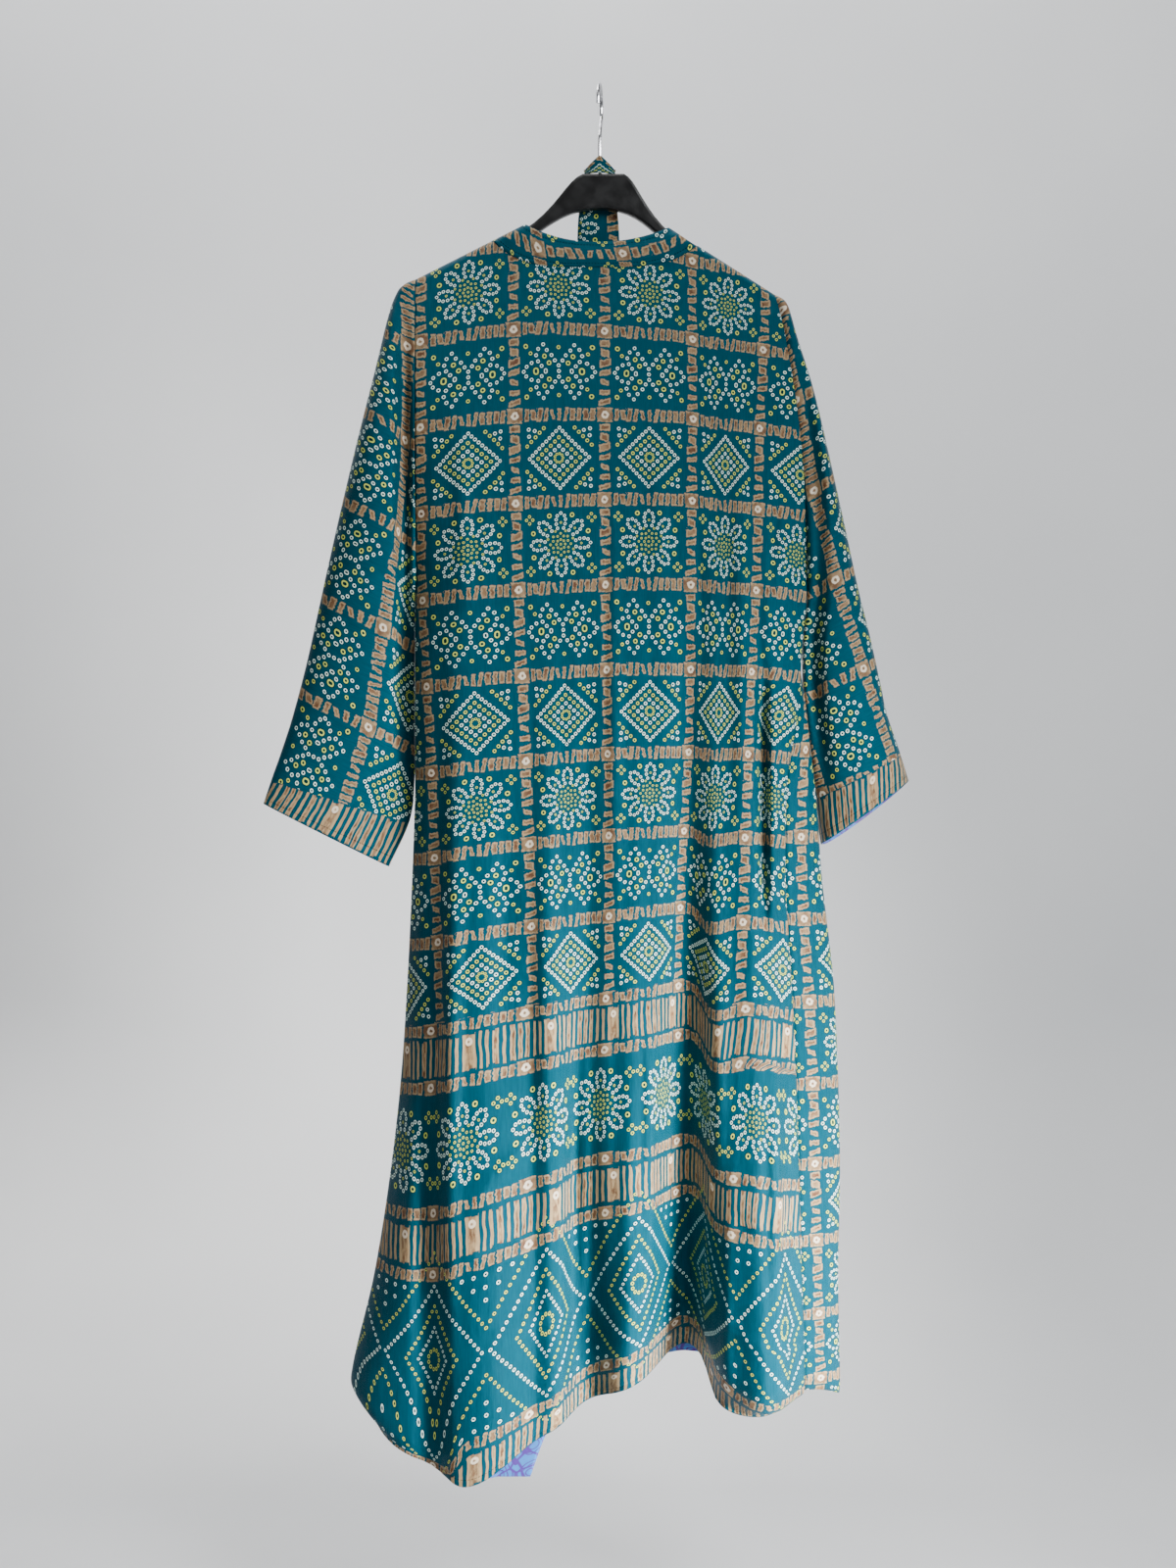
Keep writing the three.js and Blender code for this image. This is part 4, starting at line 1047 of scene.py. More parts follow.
@dataclass(frozen=True)
class Motifs:
    """The tied-dot motifs of the print, in millimetres from the middle of a cell."""

    petals: int = 8
    petal: Dots = (
        (33, 0, PETAL), (30.2, 3.9, PETAL), (26.1, 5.1, PETAL), (21.4, 4.9, PETAL), (17, 3.3, PETAL),
    )
    flower_heart: Dots = ((23, 0, SMALL), (11.5, 0, SMALL), (5, 0, SMALL), (0, 0, SMALL))
    between_petals: tuple[Pair, ...] = ((33, MEDIUM), (9.2, SMALL), (15, SMALL))
    cluster: Pair = (34.5, 27)
    cluster_reach: float = 3.7
    wing: Dots = (
        (0, 0, PLAIN), (0, 6, PLAIN), (4.1, 11.2, PLAIN), (7.8, 16.8, PLAIN), (13.1, 22.1, PLAIN),
        (17.2, 28.1, PLAIN), (22.8, 23.3, PLAIN), (25.3, 16.7, PLAIN), (23.1, 10.3, PLAIN),
        (18.9, 5.4, PLAIN), (14.3, 0.7, PLAIN), (30.3, 8.8, PLAIN), (36, 5, PLAIN), (39, 0, PLAIN),
    )
    wing_heart: Dots = (
        (25.2, 0.7, LARGE), (15.8, 15.6, MEDIUM), (10.4, 8.6, MEDIUM), (36.4, 26.5, MEDIUM),
        (31.6, 18.9, PLAIN), (0, 25.3, 2.2),
    )
    diamond_corner: Dots = ((27.7, 28.9, PLAIN), (34.3, 30.6, PLAIN), (33.8, 23.3, PLAIN))
    corner_line: tuple[Pair, ...] = ((17.6, 31.5), (35.8, 13.2))
    rows_between: float = 84.0
    seed_step: Pair = (12.5, 12)
    seed_top: float = 72.0

    def flower(self) -> NodeTree:
        """Group: an eight-petalled flower with its corner clusters.

        Returns:
            The group.
        """
        chart, x, y, size = new_group("flower", {"X": 0, "Y": 0, "Size": 1}, DOT_COLOURS)
        x, y = x / size, y / size
        arm = chart.arm(x, y, self.petals)
        cos, sin = math.cos(math.pi / self.petals), math.sin(math.pi / self.petals)
        between = tuple((out * cos, out * sin, radius) for out, radius in self.between_petals)
        (at_x, at_y), far = self.cluster, self.cluster_reach
        ways = ((far, 0), (-far, 0), (0, far), (0, -far))
        cluster = tuple((at_x + dx, at_y + dy, PETAL) for dx, dy in ways)
        yellow = chart.nearest(arm, self.flower_heart + between)
        corners = chart.nearest(chart.point(abs(x), abs(y)), cluster)
        return chart.give(White=chart.nearest(arm, self.petal), Yellow=yellow.least(corners))

    def butterfly(self) -> NodeTree:
        """Group: a figure of four wings.

        Returns:
            The group.
        """
        chart, x, y = new_group("butterfly", {"X": 0, "Y": 0}, DOT_COLOURS)
        place = chart.point(abs(x), abs(y))
        white, yellow = (chart.nearest(place, dots) for dots in (self.wing, self.wing_heart))
        return chart.give(White=white, Yellow=yellow)

    def rung(self, x: Value, y: Value, half: Pair, steps: int, radius: float) -> Value:
        """Distance to the dots along a diamond's outline.

        Args:
            x: Absolute x.
            y: Absolute y.
            half: Half width and half height of the diamond.
            steps: Steps along one side.
            radius: Radius of a dot.

        Returns:
            Distance over radius.
        """
        a, b = half
        length = math.hypot(a, b)
        along = y * (b / length) - (x - a) * (a / length)
        away = x.scaled(b / length, y.scaled(a / length, -a * b / length))
        off = abs(along).fold(length / steps / 2)
        return off.scaled(off, away * away).reckon("SQRT") / radius

    def wreath(self, x: Value, y: Value, ring: float, count: int, radius: float) -> Value:
        """Distance over radius to a ring of dots round the middle."""
        return x.chart.distance(x.chart.arm(x, y, count), ring, 0) / radius

    def diamond(self) -> NodeTree:
        """Group: three diamonds of dots in one another with their corners.

        Returns:
            The group.
        """
        chart, across, down = new_group("diamond", {"X": 0, "Y": 0}, DOT_COLOURS)
        x, y = abs(across), abs(down)
        place = chart.point(x, y)
        white = self.rung(x, y, (32.9, 31.6), 9, 2.05).least(self.rung(x, y, (13.9, 12.6), 3, PLAIN))
        start, end = self.corner_line
        line = tuple((lerp(start[0], end[0], k / 4), lerp(start[1], end[1], k / 4), PLAIN) for k in range(5))
        yellow = self.rung(x, y, (23.3, 21.6), 5, PLAIN).least(chart.nearest(place, line))
        return chart.give(
            White=white.least(chart.nearest(place, self.diamond_corner)),
            Yellow=yellow.least(self.wreath(across, down, 4.6, 9, 1.5)),
        )

    def great_diamond(self) -> NodeTree:
        """Group: the border's tall diamonds with the dotted points between them.

        Returns:
            The group.
        """
        names = {"X": 0, "Y": 0, "Half": 61}
        chart, across, down, half = new_group("great_diamond", names, DOT_COLOURS)
        x, y = abs(across), abs(down)
        white = self.rung(x, y, (57, 72.5), 15, 1.9).least(self.rung(x, y, (18, 32), 7, 1.6))
        yellow = self.rung(x, y, (31, 53), 10, 1.8).least(self.wreath(across, down * 0.72, 7.2, 11, 1.6))
        rest = half - x
        point = self.rung(rest, self.rows_between - y, (46, 62), 12, 1.8)
        wide, high = self.seed_step
        spots = ((k, row) for row in range(3) for k in range(3 - row))
        seeds = tuple((wide * k, self.seed_top - high * row, PLAIN) for k, row in spots)
        white = white.least(chart.nearest(chart.point(rest, y), seeds))
        return chart.give(White=white, Yellow=yellow.least(point))


@dataclass(frozen=True)
class Bars:
    """The printed bars: the chains between the cells and the wide stripes of the border."""

    widths: Numbers = (15, 2.8, 3.5, 6.1, 3.1, 5.3, 4.6, 4.6, 3.6, 3.6)
    gaps: Numbers = (4.5, 4.3, 4.1, 4.7, 4.9, 3.3, 2.9, 5.1, 4.7, 4.7)
    cores: Numbers = (0.75, 0.3, 0.4, 1, 0.3, 1, 1, 0.9, 0.3, 0.4)
    chain_wander: float = 4.6
    edge_wander: float = 2.6
    block_gap: float = 1.4
    chain_ring: float = 2.9
    stripe_ring: float = 2.7
    stripe_ring_at: Pair = (7.9, -10)

    def chain(self) -> NodeTree:
        """Group: a line of uneven bars with a ringed block at each end of a pitch.

        Returns:
            The group.
        """
        names = {"Along": 0, "Across": 0, "Pitch": 100, "Half": 6.7, "Bars": 9, "Block": 8.6}
        chart, run, across, pitch, half, bars, block = new_group("bar_chain", names, BAR_MASKS)
        ragged = chart.noise(chart.point(run, across), 0.3, 2) - 0.5
        along = ragged.scaled(self.chain_wander, run)
        half_pitch = pitch * 0.5
        place = (along + half_pitch) % pitch - half_pitch
        in_block = (abs(place) - block).fall(-0.6, 0.4)
        start = block + self.block_gap
        count = (along % pitch - start) * bars / (pitch - start * 2)
        number = count.floor()
        luck = chart.chance(number) - 0.5
        width = chart.choose(chart.chance(number + 31.5), 0.22, 0.39)
        middle = abs((count + luck * (across / 16)).reckon("FRACT") - 0.5)
        from_edge = middle - width
        away = abs(ragged.scaled(self.edge_wander, across))
        from_end = away - luck.scaled(2.2, half)
        bar = from_edge.fall(-0.05, 0.05) * (abs(place) > start) * from_end.fall(-0.7, 0.5)
        whole = in_block * (away - (half + 1.6)).fall(-0.7, 0.5)
        core = from_edge.fall(-0.2, -0.07) * from_end.fall(-2.4, -0.9)
        ring = abs(chart.distance(chart.point(place, across), 0, 0) - self.chain_ring)
        return chart.give(
            Bar=bar.most(whole), Core=chart.choose(in_block, core, away.step(4.0, 7.0, 0.9, 0.2)),
            Ring=ring.fall(0.8, 1.7) * in_block,
        )

    def stripes(self) -> NodeTree:
        """Group: tall stripes of several widths with a ringed wide one in each pitch.

        Returns:
            The group.
        """
        names = {"Along": 0, "Down": 0, "Height": 38, "Pitch": 85}
        chart, run, down, height, pitch = new_group("wide_stripes", names, BAR_MASKS)
        spot = chart.point(run, down * 0.35)
        ragged = chart.noise(spot, 0.2, 2) - 0.5
        total = sum(self.widths) + sum(self.gaps)
        place = ragged.scaled(self.edge_wander, run) % pitch * chart.math("DIVIDE", total, pitch)
        here, sides, cores = 0.0, [], []
        for width, gap, dark in zip(self.widths, self.gaps, self.cores):
            off = abs(place - (here + width / 2))
            sides.append(off - width / 2)
            cores.append(off.step(0.16 * width, 0.42 * width, dark, 0))
            here += width + gap
        jag = (chart.chance((place / 7.3).floor()) - 0.5) * 3
        end = abs(down + ragged * 3) - height.scaled(0.5, jag)
        taper = reduce(Value.least, sides).most(end.scaled(0.5, 0))
        grain = chart.noise(spot, 0.35, 3).step(0.36, 0.58, 0.3, 1.25)
        ring_x, ring_y = self.stripe_ring_at
        ring = chart.distance(chart.point(place - ring_x, down + -ring_y), 0, 0) - self.stripe_ring
        return chart.give(
            Bar=taper.fall(-0.3, 0.4), Ring=abs(ring).fall(0.9, 1.8),
            Core=chart.math("MULTIPLY", reduce(Value.most, cores), grain, clamp=True),
        )


@dataclass(frozen=True)
class SariPrint:
    """The whole print as one group of the flat place on the cloth."""

    cell_u: float = 100.0
    cell_v: float = 91.0
    chain_pitch: float = 105.0
    chain_from: float = -14.0
    flower_pitch: float = 81.0
    flower_from: float = -52.0
    flower_size: float = 1.12
    flower_middle: float = 112.5
    flower_end: float = 165.0
    stripe_pitch: float = 85.0
    stripe_from: float = -56.0
    stripe_rows: Numbers = (27.5, 199, 424)
    chain_rows: Numbers = (0, 55, 170, 228, 395)
    diamond_pitch: float = 122.0
    diamond_from: float = -12.0
    diamond_middle: float = 312.0
    grid_end: float = 7.0
    wander: float = 5.0
    ground: Colour = (0.0, 0.053, 0.082, 1)
    bar: Colour = (0.435, 0.308, 0.164, 1)
    core: Colour = (0.115, 0.046, 0.022, 1)
    ring: Colour = (0.74, 0.64, 0.5, 1)
    white: Colour = (0.74, 0.98, 0.90, 1)
    yellow: Colour = (0.60, 0.70, 0.13, 1)
    dark: Colour = (0.0, 0.016, 0.022, 1)

    def centred(self, at: Value, pitch: float, start: float = 0.0) -> Value:
        """Distance from the nearest of the places that repeat from a start."""
        return (at + (pitch / 2 - start)) % pitch - pitch / 2

    def closest(self, deep: Value, rows: Numbers) -> Value:
        """Distance below the closest of some rows.

        Args:
            deep: Place down the border.
            rows: The rows.

        Returns:
            The distance, negative above it.
        """
        best = deep - rows[0]
        for row in rows[1:]:
            here = deep - row
            best = deep.chart.choose(abs(here) < abs(best), best, here)
        return best

    def marks(self, chart: Chart, u: Value, v: Value, deep: Value, grid: Value) -> dict[str, Value]:
        """Distances to the white and the yellow dots, over their radius.

        Args:
            chart: Where to draw.
            u: Place across the cloth.
            v: Place down the cloth.
            deep: Depth below the start of the border.
            grid: 1 where the grid of cells is.

        Returns:
            The two distances by colour.
        """
        motifs = Motifs()
        flower, great = motifs.flower(), motifs.great_diamond()
        cell = {"X": u % self.cell_u - self.cell_u / 2, "Y": v % self.cell_v - self.cell_v / 2}
        row = (v / self.cell_v).floor() % 3
        first, second, third = (
            chart.use(group, **cell) for group in (flower, motifs.butterfly(), motifs.diamond())
        )
        bloom = chart.use(
            flower, X=self.centred(u, self.flower_pitch, self.flower_from) * self.flower_size,
            Y=deep - self.flower_middle, Size=self.flower_size,
        )
        last = chart.use(
            great, X=self.centred(u, self.diamond_pitch, self.diamond_from),
            Y=deep - self.diamond_middle, Half=self.diamond_pitch / 2,
        )
        marks = {}
        for word in DOT_COLOURS:
            low = chart.choose(deep < self.flower_end, last[word], bloom[word])
            high = chart.choose(row > 1.5, chart.choose(row < 0.5, second[word], first[word]), third[word])
            marks[word] = chart.choose(grid, low, high)
        return marks

    def bars(self, chart: Chart, u: Value, v: Value, deep: Value, grid: Value) -> dict[str, Value]:
        """Masks of the bars, their dark cores and their rings, from the places that marks takes.

        Args:
            chart: Where to draw.
            u: Place across the cloth.
            v: Place down the cloth.
            deep: Depth below the start of the border.
            grid: 1 where the grid of cells is.

        Returns:
            The three masks by name.
        """
        bars = Bars()
        link = bars.chain()
        chain = chart.use(
            link, Along=chart.choose(grid, (u - self.chain_from) * (self.cell_u / self.chain_pitch), u),
            Across=chart.choose(grid, self.closest(deep, self.chain_rows), self.centred(v, self.cell_v)),
            Pitch=self.cell_u, Half=chart.choose(grid, 5.4, 6.3), Bars=11.0, Block=8.2,
        )
        column = chart.use(
            link, Along=v, Across=self.centred(u, self.cell_u), Pitch=self.cell_v, Half=5.6,
            Bars=7.0, Block=7.0,
        )
        stripes = chart.use(
            bars.stripes(), Along=u - self.stripe_from, Down=self.closest(deep, self.stripe_rows),
            Height=34.5, Pitch=self.stripe_pitch,
        )
        below, masks = 1 - grid, {}
        for word in BAR_MASKS:
            upright = 0.0 if word == "Ring" else column[word] * grid
            masks[word] = chain[word].most(stripes[word] * below).most(upright)
        return masks

    def build(self) -> NodeTree:
        """Group: the colour of the print at a place, with the border from its start downwards.

        Returns:
            The group.
        """
        names = {"U": 0, "V": 0, "Border": BORDER}
        chart, u, v, border = new_group("sari_print", names, ("Colour", "Mark"), ("Colour",))
        u, v = u * TO_MM, v * TO_MM
        u = u + (chart.noise(chart.point(u, v), 0.02, 2) - 0.5) * self.wander
        deep = v - border
        grid = deep < -self.grid_end
        marks = self.marks(chart, u, v, deep, grid)
        bars = self.bars(chart, u, v, deep, grid)
        blotch = chart.noise(chart.point(u, v), 0.09, 3).step(0.3, 0.7, 0.5, 1)
        bar_colour = chart.mix(chart.math("MULTIPLY", bars["Core"], blotch, clamp=True), self.bar, self.core)
        white, yellow = (mark.fall(0.86, 1.02) * mark.step(0.42, 0.58) for mark in marks.values())
        edge = marks["White"].least(marks["Yellow"]).step(1.02, 1.4, 0.85, 0)
        colour = chart.mix(edge, self.ground, self.dark)
        for share, paint in (
            (white, self.white), (yellow, self.yellow), (bars["Bar"].step(0.0, 0.5) * 0.4, self.dark),
            (bars["Bar"], bar_colour), (bars["Ring"] * bars["Bar"], self.ring),
        ):
            colour = chart.mix(share, colour, paint)
        return chart.give(Colour=colour, Mark=white.most(yellow).most(bars["Bar"]))


def stitch_group() -> NodeTree:
    """Group: a row of stitches 8 mm from an edge, with the pucker of the cloth beside it.

    Returns:
        The group.
    """
    chart, along, off = new_group("edge_stitches", {"Along": 0, "Off": 0}, ("Thread", "Pucker"))
    off, along = abs(off.scaled(TO_MM, -8)), along * TO_MM
    wave = (along * 0.7).reckon("SINE")
    return chart.give(
        Thread=along.fold(1.6).step(0.45, 0.7) * off.fall(0.35, 0.7),
        Pucker=off.fall(0.0, 6) * wave.scaled(0.25, -0.8),
    )


def weave_group() -> NodeTree:
    """Group: the height of the silk's weave and its slubs over a place on the flat cloth.

    Returns:
        The group.
    """
    chart, u, v, thread = new_group("silk_weave", {"U": 0, "V": 0, "Thread": 0.5}, ("Height", "Shade"))
    u, v = u * TO_MM, v * TO_MM
    warp, weft = ((way / thread * math.tau).reckon("SINE") for way in (u, v))
    slub = chart.noise(chart.point(u * 0.7, v * 0.05), 1, 3)
    folds = chart.noise(chart.point(u, v * 0.13), 0.035, 2)
    cockle = chart.noise(chart.point(u, v), 0.025, 2)
    cloth = folds.scaled(2.6, warp * weft * 0.05 + slub * 0.25)
    return chart.give(Height=cloth + cockle * 1.4, Shade=slub)


def scroll_group() -> NodeTree:
    """Group: the lining's scrolls, bands that wind round a wandering field.

    Returns:
        The group.
    """
    chart, u, v = new_group("scrolls", {"U": 0, "V": 0}, ("Scroll",))
    place = chart.point(u * TO_MM, v * TO_MM)
    bands = abs((chart.noise(place, 0.03, 1) * 46).reckon("SINE"))
    spots = {"Vector": place, "Scale": 0.05}
    rim = chart.made("ShaderNodeTexVoronoi", spots, "Distance", feature="DISTANCE_TO_EDGE")
    return chart.give(Scroll=bands.fall(0.3, 0.55).most(rim.fall(0.03, 0.08)))


# Finishes


@dataclass(frozen=True)
class Finish:
    """What all finishes share: a name and the making of their material."""

    name: str

    def start(self) -> tuple[Material, Chart]:
        """The new material and the chart of its nodes.

        Returns:
            Both of them.
        """
        material = bpy.data.materials.new(self.name)
        material.use_nodes = True
        return material, Chart(material.node_tree)

    def dress(self, material: Material, **values: object) -> Material:
        """Feeds the shader's inputs, named with _ for each space.

        Args:
            material: The material.
            values: Values or constants by input.

        Returns:
            The same material.
        """
        chart, shader = Chart(material.node_tree), material.node_tree.nodes["Principled BSDF"]
        for name, value in values.items():
            chart.put(shader.inputs[name.replace("_", " ")], value)
        return material

    def flat_place(self, chart: Chart, layer: str) -> list[Value]:
        """The two numbers of a place in one of a sheet's maps.

        Args:
            chart: Where to draw.
            layer: The map's name.

        Returns:
            The two values.
        """
        place = chart.made("ShaderNodeUVMap", (), uv_map=layer)
        node = chart.add("ShaderNodeSeparateXYZ")
        chart.put(node.inputs[0], place)
        return [Value(chart, node.outputs[k]) for k in range(2)]


@dataclass(frozen=True)
class SilkFinish(Finish):
    """Printed silk: the border starts at a line of the cloth, or lies out of reach."""

    border: float = BORDER
    roughness: float = 0.34

    def build(self, groups: dict[str, NodeTree]) -> Material:
        """Makes the material from the shared node groups.

        Args:
            groups: The groups by name.

        Returns:
            The finished material.
        """
        material, chart = self.start()
        u, v = self.flat_place(chart, "print")
        pattern = chart.use(groups["print"], U=u, V=v, Border=self.border)
        weave = chart.use(groups["weave"], U=u, V=v)
        along, off = self.flat_place(chart, "edge")
        stitch = chart.use(groups["stitch"], Along=along, Off=off)
        tone = weave["Shade"].step(0.2, 0.8, 0.86, 1.12) * stitch["Thread"].scaled(-0.6, 1)
        hue = chart.made("ShaderNodeHueSaturation", {"Value": tone, "Color": pattern["Colour"]})
        height = stitch["Pucker"].scaled(0.6, weave["Height"])
        return self.dress(
            material, Base_Color=hue, Normal=chart.raised(height, 0.8, 0.0014),
            Roughness=pattern["Mark"].step(0, 1, self.roughness, self.roughness + 0.12),
            Specular_Tint=(0.12, 0.7, 1.0, 1), IOR=1.65, Specular_IOR_Level=0.09,
        )


@dataclass(frozen=True)
class LiningFinish(Finish):
    """The other side of the robe: silk with scrolls in two colours."""

    ground: Colour
    scroll: Colour

    def build(self, groups: dict[str, NodeTree]) -> Material:
        """Makes the material from the shared node groups.

        Args:
            groups: The groups by name.

        Returns:
            The finished material.
        """
        material, chart = self.start()
        u, v = self.flat_place(chart, "print")
        scrolls = chart.use(groups["scrolls"], U=u, V=v)
        weave = chart.use(groups["weave"], U=u, V=v)
        return self.dress(
            material, Base_Color=chart.mix(scrolls["Scroll"], self.ground, self.scroll),
            Normal=chart.raised(weave["Height"], 0.4, 0.001), Roughness=0.5, Sheen_Weight=0.2,
        )


@dataclass(frozen=True)
class HardFinish(Finish):
    """Plastic or steel with fine scratches and handling marks."""

    colour: Colour
    roughness: float
    metallic: float

    def build(self) -> Material:
        """Makes the material.

        Returns:
            The finished material.
        """
        material, chart = self.start()
        place = chart.made("ShaderNodeTexCoord", (), "Object")
        marks = chart.noise(place, 60, 4)
        light = tuple(min(1.0, c * 1.35 + 0.002) for c in self.colour[:3]) + (1,)
        return self.dress(
            material, Base_Color=chart.mix(marks.step(0.45, 0.75), self.colour, light),
            Roughness=marks.step(0.3, 0.7, self.roughness * 0.85, self.roughness * 1.2),
            Normal=chart.raised(chart.noise(place, 900, 2), 0.15, 0.0003), Metallic=self.metallic,
        )


# The robe


@dataclass
class RobeBody:
    """The back, the two fronts, the band round the neck and the lining of the left front."""

    drape: Drape
    silk: Material
    plain_silk: Material
    lining: Material
    columns: Table = Table("drop c0 c1 c2 c3 c4 c5", (
        (223, -191, -92, 5.3, 98.7, 176.4, 280),
        (380, -191, -90, 5.3, 98.7, 169, 276),
        (538, -189, -86, 6.3, 96.6, 164.9, 272),
        (695, -179.6, -78.7, 8.4, 95.6, 156.5, 220),
        (853, -173, -72, 9.5, 87, 151, 202),
        (989, -168, -69, 9.5, 82, 146, 203.7),
        (1077, -168.2, -67.2, 8.2, 82.2, 138.4, 202.9),
        (1208, -165, -65, 9.1, 80.3, 132.8, 209),
        (1430, -165, -65.6, 10, 79.3, 128.3, 212),
    ))
    front_lines: Table = Table("drop cloth", (
        (150, 0), (711, 546), (804, 637), (891, 728), (979, 819), (1066, 910), (1151, 1001),
        (1232, 1092), (1310, 1183), (1379, 1274), (1520, 1415),
    ))
    parts_across: int = 4
    parts_down: int = 9
    column_step: float = 100.0
    pin_inset: float = 5.0
    turned_under: float = 46.0
    turned_edge: Pair = (0.1, 0.185)
    turned_rows: Pair = (1150.0, 1258.0)
    front_start: Pair = (60.0, 19.5)
    front_column: float = 400.0
    front_steps: int = 73
    neck_steps: int = 90
    band_steps: int = 11
    band_parts: int = 6
    band_round: float = 1.1
    band_mark: float = 24.4
    band_row: float = 3640.0
    band_column: float = 300.0
    band_stitch: float = 3.4
    lining_from: Pair = (0.76, 0.83)
    lining_inset: Pair = (1.3, 2.2)
    lining_steps: tuple[int, int] = (21, 41)

    def pinned(self, points: Array, drop: Array) -> Array:
        """Places across the print, pinned where its columns hang in the folds.

        Args:
            points: The back's grid of points.
            drop: Their drops.

        Returns:
            The places in millimetres.
        """
        run, names = lengths(points, 1), self.columns.names[1:]
        marks, places = self.column_step * np.arange(len(names)), np.empty_like(run)
        for j, level in enumerate(np.median(drop, axis=1)):
            pins = np.array([float(self.columns.read(name, level)) for name in names])
            x = np.maximum.accumulate(points[j, :, 0])
            keep = (pins > x[0] + self.pin_inset) & (pins < x[-1] - self.pin_inset)
            at, mark = np.interp(pins[keep], x, run[j]), marks[keep]
            inner = np.interp(run[j], at, mark)
            inner = np.where(run[j] < at[0], mark[0] + run[j] - at[0], inner)
            places[j] = np.where(run[j] > at[-1], mark[-1] + run[j] - at[-1], inner)
        return places

    def back(self) -> Object:
        """Makes the back panel with the print pinned to the folds as it hangs.

        Returns:
            The finished panel.
        """
        across, down = np.meshgrid(fine(BACK_COLUMNS, self.parts_across), fine(ROWS, self.parts_down))
        points = self.drape.back(across, down, CREASES)
        cloth, drop = self.drape.back_drop(across, down)
        u = self.pinned(points, drop)
        hidden = self.turned_under * (1 - rise(across, *self.turned_edge)) * rise(cloth, *self.turned_rows)
        panel = Cloth("back_panel", points, stacked(u, cloth - hidden), stacked(u, HEM_LINE - cloth))
        return panel.build(self.silk, self.lining)

    def front(self, side: Side) -> Object:
        """Makes one front panel, printed with the plain grid down to its hem.

        Args:
            side: Which front.

        Returns:
            The finished panel.
        """
        across, down = np.meshgrid(np.linspace(0, 1, self.front_steps), fine(ROWS, self.parts_down))
        points = self.drape.front(side, across, down)
        u = lengths(points, 1) - side.pick(self.front_start) + self.front_column
        fall = lengths(points, 0)
        flat = stacked(u, self.front_lines.read("cloth", -points[..., 2]))
        panel = Cloth(f"front_panel_{side.word}", points, flat, stacked(u, fall[-1:] - fall), side.value)
        return panel.build(self.plain_silk, self.lining)

    def band_depth(self, side: Side | None, x: Array, drop: Array) -> Array:
        """Y of the band on a front, or across the back neck where there is no side.

        Args:
            side: Which front, if any.
            x: Places across the robe.
            drop: Places down the robe.

        Returns:
            Y in millimetres.
        """
        if side is not None:
            return self.drape.front_depth(side, x, drop)
        full = DEPTHS.read("back", drop) * self.drape.over_hanger(x, drop)
        return -np.maximum(self.drape.ridge_gap, full)

    def band_points(self, downs: Array) -> Array:
        """Points of the band, from the left front's hem round the neck to the right front's.

        Args:
            downs: Shares of a front's length, from its top.

        Returns:
            A grid with a row across the band at each place along it.
        """
        shape, ups = self.drape, downs[::-1]
        left, right = (float(shape.column_x(corner)) for corner in shape.corners)
        seam_x = np.linspace(left, right, self.neck_steps)[1:-1]
        ends = (FRONT_EDGES.column(side.word)[0] for side in Side)
        free_x = lerp(*ends, (seam_x - left) / (right - left))
        lines = {
            Side.LEFT: (shape.band_seam(Side.LEFT, ups), shape.band_edge(Side.LEFT, ups)),
            None: ((seam_x, shape.neck_seam(seam_x)), (free_x, shape.neck_edge(free_x))),
            Side.RIGHT: (shape.band_seam(Side.RIGHT, downs), shape.band_edge(Side.RIGHT, downs)),
        }
        parts = []
        for side, pair in lines.items():
            seam, free = (stacked(x, self.band_depth(side, x, drop), -drop) for x, drop in pair)
            parts.append(strip(seam, free, np.linspace(0, 1, self.band_steps)))
        return np.concatenate(parts, 0)

    def band(self) -> Object:
        """Makes the band in one strip with a soft fold along its free edge.

        Returns:
            The finished band.
        """
        points = self.band_points(fine(ROWS, self.band_parts))
        share = np.linspace(0, 1, self.band_steps)[None, :]
        run = lengths(points, 0)
        out = np.where(np.abs(points[..., 1]) > 0.5, np.sign(points[..., 1]), 0)
        points[..., 1] += out * self.band_round * np.sin(np.pi * share)
        first, reach = points.shape[0] // 2 - 40, 80
        near = points[first : first + reach, self.band_steps // 2, 0]
        start = int(np.argmin(np.abs(near - self.band_mark))) + first
        width = self.drape.band_width
        v = run - run[start] + self.band_row
        flat = stacked((share - 0.5) * width + self.band_column, v)
        edge = stacked(v, width * np.minimum(share, 1 - share) + self.band_stitch)
        panel = Cloth("band", points, flat, edge, hung_from=("back_panel",), wall=2.2)
        return panel.build(self.plain_silk, self.plain_silk)

    def front_lining(self) -> Object:
        """Makes the lining that shows inside the left front at the hem.

        Returns:
            The finished lining.
        """
        ways = zip(self.lining_from, self.lining_steps)
        acrosses, downs = (np.linspace(first, 1, steps) for first, steps in ways)
        across, down = np.meshgrid(acrosses, downs)
        front = self.drape.front(Side.LEFT, across, down)[:, :-1]
        band = self.band_points(downs)[: len(downs)][::-1]
        points = np.concatenate([front, band], 1)
        inset = np.repeat(self.lining_inset, (front.shape[1], band.shape[1]))[None, :, None]
        points = points - facing(points) * inset * np.sign(facing(points)[..., 1:2])
        panel = Cloth("front_lining", points, outward=-1, hung_from=("front_panel_left",), wall=LINING_WALL)
        return panel.build(self.lining, self.lining)


